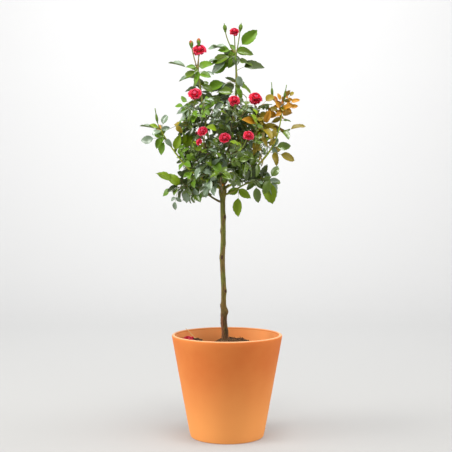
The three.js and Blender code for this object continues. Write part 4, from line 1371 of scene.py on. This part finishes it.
def leafletMesh(name, arch, fold, wave, twist):
    last = bladeSizes["stations"] - 1
    stations = [i / last for i in range(last + 1)]

    def spot(i, v, under=False):
        t = stations[i]
        tooth = 1 + bladeSizes["tooth"] * (1 if i % 2 else -1) * (abs(v) == 1)
        y = v * bladeHalf(t) * tooth
        x = t + (bladeSizes["lean"] * (i % 2) if abs(v) == 1 and 0 < i < last else 0)
        z = -arch * t * t + fold * abs(y) + wave * v * math.sin(9 * t)
        z += bladeSizes["quilt"] * (abs(v) == 0.5) - (bladeSizes["thick"] if under else 0)
        turn = twist * t
        return Vector((x, y * math.cos(turn) - z * math.sin(turn), y * math.sin(turn) + z * math.cos(turn)))

    columns = (-1, -0.5, 0, 0.5, 1)
    points, marks = [spot(0, 0)], [(0, 0)]
    rows = [[0] * 5]
    for i in range(1, last):
        rows.append([len(points) + k for k in range(5)])
        points += [spot(i, v) for v in columns]
        marks += [(stations[i], v) for v in columns]
    rows.append([len(points)] * 5)
    points.append(spot(last, 0))
    marks.append((1, 0))
    ribs = [0]
    for i in range(1, last):
        ribs.append(len(points))
        points.append(spot(i, 0, under=True))
        marks.append((stations[i], 0))
    ribs.append(rows[-1][0])
    faces, parts = [], []

    def addFace(corners, part):
        ring = [c for k, c in enumerate(corners) if c != corners[k - 1]]
        faces.append(ring)
        parts.append(part)

    for i in range(last):
        for k in range(4):
            addFace([rows[i][k], rows[i + 1][k], rows[i + 1][k + 1], rows[i][k + 1]], 0)
        addFace([rows[i][0], ribs[i], ribs[i + 1], rows[i + 1][0]], 1)
        addFace([ribs[i], rows[i][4], rows[i + 1][4], ribs[i + 1]], 1)
    mesh = formMesh(name, points, faces, parts)
    blade = mesh.uv_layers.new(name="blade")
    blade.data.foreach_set("uv", [v for loop in mesh.loops for v in marks[loop.vertex_index]])
    rim = {rows[i][k] for i in range(last + 1) for k in (0, 4)}
    sharp = mesh.attributes.new("sharp_edge", "BOOLEAN", "EDGE")
    sharp.data.foreach_set("value", [e.vertices[0] in rim and e.vertices[1] in rim for e in mesh.edges])
    mesh.update()
    return mesh


bladeForms = [leafletMesh(f"leafletForm{n}", **form) for n, form in enumerate(leafletForms)]
for name, places in leafletPlaces.items():
    title = "leaflets" + name.capitalize()
    upper = leafUpper("leafCuticle" + name.capitalize(), *tints[name])
    under = finishes["leafletUnderWarm" if name in ("bronze", "amber", "rust") else "leafletUnderGreen"]
    addPiece(title, copiesMesh(title, places, bladeForms, upper, under), massNodes)


# Prickles: a flat-based hook one unit long, out along X and bent down along -Z

def thornMesh():
    sides = 6
    rows = [(-0.15, 0.26, 0.5, 0.0), (0.35, 0.14, 0.24, -0.08), (0.75, 0.06, 0.09, -0.2)]
    points = [
        Vector((out, across * math.cos(turn), tall * math.sin(turn) + sag))
        for out, across, tall, sag in rows for turn in wholeTurn(sides)
    ]
    top = len(points) - sides
    faces = [list(reversed(range(sides)))] + ringFaces(len(rows), sides)
    faces += [[top + k, top + (k + 1) % sides, len(points)] for k in range(sides)]
    shape = newShape()
    addFaces(shape, points + [Vector((1, 0, -0.34))], faces)
    return meshOf("prickleForm", shape)


# Blooms: petals in a rosette on a hip with sepals, and closed buds

petalForms = {
    "heart": {"tall": 12.5, "wide": 10.0, "cup": 0.85, "curl": -3.0, "ruffle": 0.4, "notch": 0.3},
    "middle": {"tall": 14.5, "wide": 14.0, "cup": 0.6, "curl": 1.5, "ruffle": 1.0, "notch": 0.9},
    "outer": {"tall": 15.0, "wide": 17.0, "cup": 0.4, "curl": 5.5, "ruffle": 1.3, "notch": 1.2},
}
petalRows = [0.0, 0.3, 0.55, 0.75, 0.91, 1.0]
bloomForms = {
    "openBloom": {"Count": 36, "Heart": 4.0, "Opening": 72.0, "Inner Size": 0.92, "Seed": 3.0},
    "cupBloom": {"Count": 36, "Heart": 3.0, "Opening": 52.0, "Inner Size": 0.94, "Seed": 8.0},
    "fullBloom": {"Count": 40, "Heart": 4.0, "Opening": 82.0, "Inner Size": 0.9, "Seed": 5.0},
}
headSizes = {
    "hipRadius": 3.2, "hipTall": 6.5, "budHip": 0.72, "thick": 0.28, "steep": 0.7, "smallestHip": 0.8,
}
openSepal = {
    "length": 13.0, "wide": 4.4, "rows": 5, "from": 0.8, "drop": 1.0, "keel": 0.5, "curl": 0.4,
    "tipHalf": 0.15,
}
# A wrapped sepal lies on its bud as far as a share of its rows, and stands free beyond.
wrappedSepal = {
    "halfTurn": 40, "rows": 7, "until": 0.75, "sunk": 0.8, "off": 0.5, "keel": 0.45, "inner": -0.25,
    "leastHalf": 0.35,
}


# A petal: a grid of rows and columns with a face towards the bloom's axis and a back that share their rim.
def petalMesh(name, tall, wide, cup, curl, ruffle, notch):
    columns = 6
    sides = columns + 1
    rows = len(petalRows) - 1

    def spot(t, v):
        half = wide / 2 * (0.24 + 0.76 * math.sin(math.pi * min(1, t * 0.66 + 0.1)) ** 0.8)
        half *= 1 - 0.2 * smoothed(t, 0.8, 1)
        top = tall * (t - 0.12 * v * v * t) - notch * (1 - abs(v)) ** 2 * smoothed(t, 0.7, 1)
        out = 1.2 * math.sin(math.pi * t) - cup * (v * half) ** 2 / (wide / 2)
        out += curl * max(0, t - 0.4) ** 2 * 2.4 + ruffle * math.sin(5.5 * v + 1.3 * tall) * t * t
        return sized(out, v * half, top)

    points = [spot(t, 2 * k / columns - 1) for t in petalRows for k in range(sides)]
    back = list(range(len(points)))
    for i in range(1, rows):
        for k in range(1, columns):
            back[i * sides + k] = len(points)
            points.append(points[i * sides + k] + Vector((headSizes["thick"] * mm, 0, 0)))
    faces, parts = [], []
    for i in range(rows):
        for k in range(columns):
            ring = [i * sides + k, (i + 1) * sides + k, (i + 1) * sides + k + 1, i * sides + k + 1]
            faces += [ring, [back[c] for c in reversed(ring)]]
            # The top row is the edge, which takes the pale pink that is partly painted glint.
            parts += [2, 2] if i == rows - 1 else [0, 1]
    return formMesh(name, points, faces, parts)


petalSkins = dict(zip(partNames, finishList("petalHeart", "petalOpen", "petalEdgeAndGlint")))
petals = {name: petalMesh("petal" + name, **form) for name, form in petalForms.items()}
heads = [
    grownMesh(name, bpy.data.meshes.new("rosetteStart"), rosetteTree, petals.values(), petalSkins | inputs)
    for name, inputs in bloomForms.items()
]
headWidths = [max(2 * math.hypot(v.co.x, v.co.y) for v in head.vertices) for head in heads]


# Sepals turned back under an open bloom
def addOpenSepal(shape, bearing, tilt):
    length, wide, rows = (openSepal[name] for name in ("length", "wide", "rows"))
    turn, lean = math.radians(bearing), math.radians(tilt)
    out = Vector((*polar(turn), 0))
    side = Vector((-math.sin(turn), math.cos(turn), 0))
    way = out * math.sin(lean) + up * math.cos(lean)
    normal = way.cross(side)
    points = []
    for i in range(rows + 1):
        t = i / rows
        middle = out * headSizes["hipRadius"] * openSepal["from"] + way * length * t - up * openSepal["drop"]
        half = wide / 2 * (1 - t) ** 0.7 * (0.6 + 1.3 * t * (1 - t)) + openSepal["tipHalf"]
        for v, raised in ((-1, 0), (0, openSepal["keel"]), (1, 0), (0, -0.1)):
            points.append((middle + side * half * v + normal * (raised - openSepal["curl"] * abs(v))) * mm)
    caps = [[0, 1, 2, 3], [rows * 4 + k for k in (3, 2, 1, 0)]]
    addFaces(shape, points, caps + ringFaces(rows + 1, 4, turned=True))


budRows = [(0.0, 0.0), (0.62, 0.03), (0.93, 0.2), (1.0, 0.42), (0.86, 0.66), (0.52, 0.88), (0.0, 1.0)]
budForms = {
    "redBud": {"radius": 5.4, "tall": 15.5, "sepal": 0.64, "tip": 3.5, "splay": 1.2},
    "greenBud": {"radius": 4.9, "tall": 14.5, "sepal": 1.02, "tip": 3.0, "splay": 1.0},
    "spike": {"radius": 3.0, "tall": 19.0, "sepal": 1.05, "tip": 14.0, "splay": 0.1},
}


def budReach(t):
    for (r0, z0), (r1, z1) in zip(budRows, budRows[1:]):
        if t <= z1:
            return mixed(r0, r1, (t - z0) / (z1 - z0))
    return 0.0


# Sepals that wrap a closed bud and run on into a narrow tip
def addWrappedSepal(shape, bearing, bud):
    rows, until = wrappedSepal["rows"], wrappedSepal["until"]
    points = []
    for i in range(rows + 1):
        t = i / rows
        cover = bud["sepal"] * min(1, t / until)
        beyond = max(0, t - until) / (1 - until)
        height = bud["tall"] * cover + bud["tip"] * beyond - wrappedSepal["sunk"] * (i == 0)
        reach = bud["radius"] * max(budReach(min(cover, 0.97)), 0.7 * (i < 2))
        reach = reach * (1 - 0.5 * beyond) + wrappedSepal["off"] + bud["splay"] * beyond ** 2
        narrow = (1 - t) ** 0.8 * (0.75 + 0.5 * math.sin(math.pi * t))
        spread = max(math.radians(wrappedSepal["halfTurn"]) * narrow, wrappedSepal["leastHalf"] / reach)
        for v, raised in ((-1, 0.0), (0, wrappedSepal["keel"]), (1, 0.0), (0, wrappedSepal["inner"])):
            points.append(sized(*polar(math.radians(bearing) + v * spread, reach + raised), height))
    caps = [[3, 2, 1, 0], [rows * 4 + k for k in range(4)]]
    addFaces(shape, points, caps + ringFaces(rows + 1, 4))


def addHip(shape, radius):
    tall = headSizes["hipTall"]
    rows = [(0, -1), (0.42, -1), (0.72, -0.8), (1, -0.45), (0.95, -0.12), (0.6, 0.05), (0, 0.08)]
    addTurned(shape, [(r * radius * mm, z * tall * mm) for r, z in rows], 9)


def openHip():
    shape = newShape()
    addHip(shape, headSizes["hipRadius"])
    for k in range(5):
        addOpenSepal(shape, 72 * k + 9, 112 + 9 * math.sin(k * 2.4))
    return meshOf("openHip", shape)


def closedBud(name):
    bud = budForms[name]
    shape = newShape()

    def furl(spot):
        turn = math.atan2(spot.y, spot.x) * 3 + spot.z * 260
        return Vector((spot.x, spot.y, 0)) * 0.09 * math.sin(turn)

    addTurned(shape, [(r * bud["radius"] * mm, z * bud["tall"] * mm) for r, z in budRows], 14, lift=furl)
    return meshOf(name + "Tip", shape)


def budCup(name):
    bud = budForms[name]
    shape = newShape()
    addHip(shape, bud["radius"] * headSizes["budHip"])
    for k in range(5):
        addWrappedSepal(shape, 72 * k + 20, bud)
    return meshOf(name + "Cup", shape)


def axisTurn(axis, spin):
    return (axis.to_track_quat("Z", "Y").to_matrix() @ Matrix.Rotation(spin, 3, "Z")).to_euler()


headPlaces = {"bloom": [], "hip": [], "redTip": [], "greenTip": [], "budCup": []}
for number, flower in enumerate(flowers):
    kind, axis = flower["kind"], flower["axis"]
    plain = {"at": flower["seat"], "turn": axisTurn(axis, flower["spin"]), "size": (1, 1, 1), "kind": 0}
    thick = flowerSizes["stalk"] * (flowerSizes["spikeStalk"] if kind == "spike" else 1) * mm
    tubeAlong(stalkShape, flower["stalk"], thick * 1.2, thick, 7, 0)
    if kind == "bloom":
        form = 1 if axis.z > headSizes["steep"] else number % len(heads)
        scale = flower["wide"] / headWidths[form]
        headPlaces["bloom"].append(plain | {"kind": form, "size": (scale,) * 3})
        headPlaces["hip"].append(plain | {"size": (max(scale, headSizes["smallestHip"]),) * 3})
    else:
        bud = plain | {"kind": list(budForms).index(kind)}
        headPlaces["redTip" if kind == "redBud" else "greenTip"].append(bud)
        headPlaces["budCup"].append(bud)


# A fallen bloom and loose petals on the heap of compost, and a dry stem that leans on the pot's wall. Lifts
# are above the compost.
fallen = {
    "bloom": (-106, 48), "wide": 32.0, "lift": 8.0, "axis": (0.3, -0.5, 0.8), "spin": 1.0,
    "petals": [(-100, 30), (-112, 28), (-92, 76), (-88, 48), (-116, 12)], "petalLift": 2.5, "petalSize": 0.9,
    "stemFoot": (-86, 66), "footLift": -2.0, "stemTop": (-115.2, 89.7, 278.5), "stemRadius": 1.2,
    "stemBend": 2.5,
}


def onBed(spot, lift):
    x, y = spot[0] * mm, spot[1] * mm
    return Vector((x, y, bedHeight(x, y) + lift * mm))


headPlaces["bloom"].append({
    "at": onBed(fallen["bloom"], fallen["lift"]), "size": (fallen["wide"] * mm / headWidths[0],) * 3,
    "turn": axisTurn(Vector(fallen["axis"]).normalized(), fallen["spin"]), "kind": 0,
})
fallenPetals = [{
    "at": onBed(spot, fallen["petalLift"]), "size": (fallen["petalSize"],) * 3, "kind": k % 2,
    "turn": (1.45 + 0.3 * math.sin(7 * k), 0.4 * math.sin(3 * k), 1.9 * k),
} for k, spot in enumerate(fallen["petals"])]
foot, top = onBed(fallen["stemFoot"], fallen["footLift"]), sized(*fallen["stemTop"])
strawCurve = curveThrough(foot, foot.lerp(top, 0.55) + sized(0, 0, fallen["stemBend"]), top, count=14)
strawShape = newShape()
tubeAlong(strawShape, strawCurve, fallen["stemRadius"] * mm, fallen["stemRadius"] * 0.5 * mm, 7, 0)
addPiece("dryStem", meshOf("dryStem", strawShape, finishList("straw")))
looseForms = [petals["middle"], petals["outer"]]
looseMesh = copiesMesh("fallenPetals", fallenPetals, looseForms, *petalSkins.values())
addPiece("fallenPetals", looseMesh)

tipForms = [closedBud(name) for name in budForms]
for name, places, forms, *skins in (
    ("blooms", "bloom", heads, *petalSkins.values()),
    ("bloomHips", "hip", [openHip()], finishes["sepal"]),
    ("budTips", "redTip", tipForms, finishes["budPetal"]),
    ("budTipsGreen", "greenTip", tipForms, finishes["sepal"]),
    ("budCups", "budCup", [budCup(name) for name in budForms], finishes["sepal"]),
):
    addPiece(name, copiesMesh(name, headPlaces[places], forms, *skins), massNodes)
addPiece("prickles", copiesMesh("prickles", thornPlaces, [thornMesh()], finishes["thorn"]))

caneSkins = finishList("caneGreen", "caneRust", "caneFresh")
addPiece("caneBark", meshOf("caneBark", caneShape, caneSkins), boughNodes)
addPiece("shootBark", meshOf("shootBark", shootShape, caneSkins), massNodes)
addPiece("leafStalks", meshOf("leafStalks", stalkShape, finishList("stalk")), massNodes)
print("crown grown")


# Stage, light and camera

view = {"lens": 78.85, "sensor": 36, "away": 2653.0, "height": 646.0, "side": -2.9, "pitch": 1.736}
# Lights and paper are in metres and watts.
lights = [
    {"name": "keyLeft", "at": (-2.7, -0.9, 1.6), "size": 1.5, "power": 72, "aim": (0, 0, 0.6)},
    {"name": "fillRight", "at": (2.7, -0.5, 1.3), "size": 1.6, "power": 34, "aim": (0, 0, 0.6)},
    {"name": "topSoft", "at": (0.1, -0.6, 3.0), "size": 1.1, "power": 64, "aim": (0, 0, 0.6)},
    {"name": "backWash", "at": (0.0, 1.9, 3.4), "size": 3.0, "power": 56, "aim": (0, 4.4, 1.6)},
]
evenLight = 0.4
paper = {"front": -6.0, "flat": 2.5, "bend": 1.5, "top": 6.0, "half": 8.0, "glow": 0.19}


# Background paper: matt, its tone painted darker where it lies flat than where it rises, as painted light and
# shade, and glowing a little, a painted light that lifts the shadows cast on it
def mattPaper():
    glow = {"Emission Color": linear("#FFFFFF"), "Emission Strength": paper["glow"]}
    material, tree = newFinish("mattPaper", "#D6D5D3", 0.9, more=glow)
    place = addNode(tree, "TexCoord", out="Object")
    back, rise = (addNode(tree, "SeparateXYZ", {0: place}, out=axis) for axis in "YZ")
    run = addNode(tree, "Math", {0: back, 1: rise}, operation="ADD")
    share = addNode(tree, "MapRange", {"Value": run, "From Min": -0.5, "From Max": 5.5})
    # The ramp's tones are painted light and shade, darker on the floor and paler up the backdrop.
    stops = [(0.0, "#9A9996"), (0.45, "#B0B0AF"), (1.0, "#D6D6D6")]
    addNode(tree, "Principled BSDF", {"Base Color": addNode(tree, "ValToRGB", {0: share}, stops=stops)})
    return material


def buildFloor():
    bend = [(paper["front"], 0.0), (paper["flat"], 0.0)]
    for i in range(1, 11):
        x, y = polar(math.radians(9 * i), paper["bend"])
        bend.append((paper["flat"] + y, paper["bend"] - x))
    bend.append((paper["flat"] + paper["bend"], paper["top"]))
    points = [Vector((x, y, z)) for y, z in bend for x in (-paper["half"], paper["half"])]
    shape = newShape()
    addFaces(shape, points, [[2 * i, 2 * i + 1, 2 * i + 3, 2 * i + 2] for i in range(len(bend) - 1)])
    floor = bpy.data.objects.new("paperSweep", meshOf("paperSweep", shape, [mattPaper()]))
    bpy.context.scene.collection.objects.link(floor)


def buildLights():
    world = bpy.data.worlds.new("evenLight")
    world.use_nodes = True
    background = world.node_tree.nodes["Background"].inputs
    background["Color"].default_value = linear("#FFFFFF")
    background["Strength"].default_value = evenLight
    bpy.context.scene.world = world
    for one in lights:
        data = bpy.data.lights.new(one["name"], "AREA")
        data.energy = one["power"]
        data.size = one["size"]
        lamp = bpy.data.objects.new(one["name"], data)
        lamp.location = one["at"]
        aim = Vector(one["aim"]) - lamp.location
        lamp.rotation_euler = aim.to_track_quat("-Z", "Y").to_euler()
        bpy.context.scene.collection.objects.link(lamp)


def buildCamera():
    data = bpy.data.cameras.new("front")
    data.lens = view["lens"]
    data.sensor_width = view["sensor"]
    data.clip_end = 50
    camera = bpy.data.objects.new("front", data)
    camera.location = sized(view["side"], -view["away"], view["height"])
    camera.rotation_euler = (math.radians(90 - view["pitch"]), 0, 0)
    bpy.context.scene.collection.objects.link(camera)
    bpy.context.scene.camera = camera


buildFloor()
buildLights()
buildCamera()
bpy.context.scene.view_settings.view_transform = "Standard"
print("stage lit")
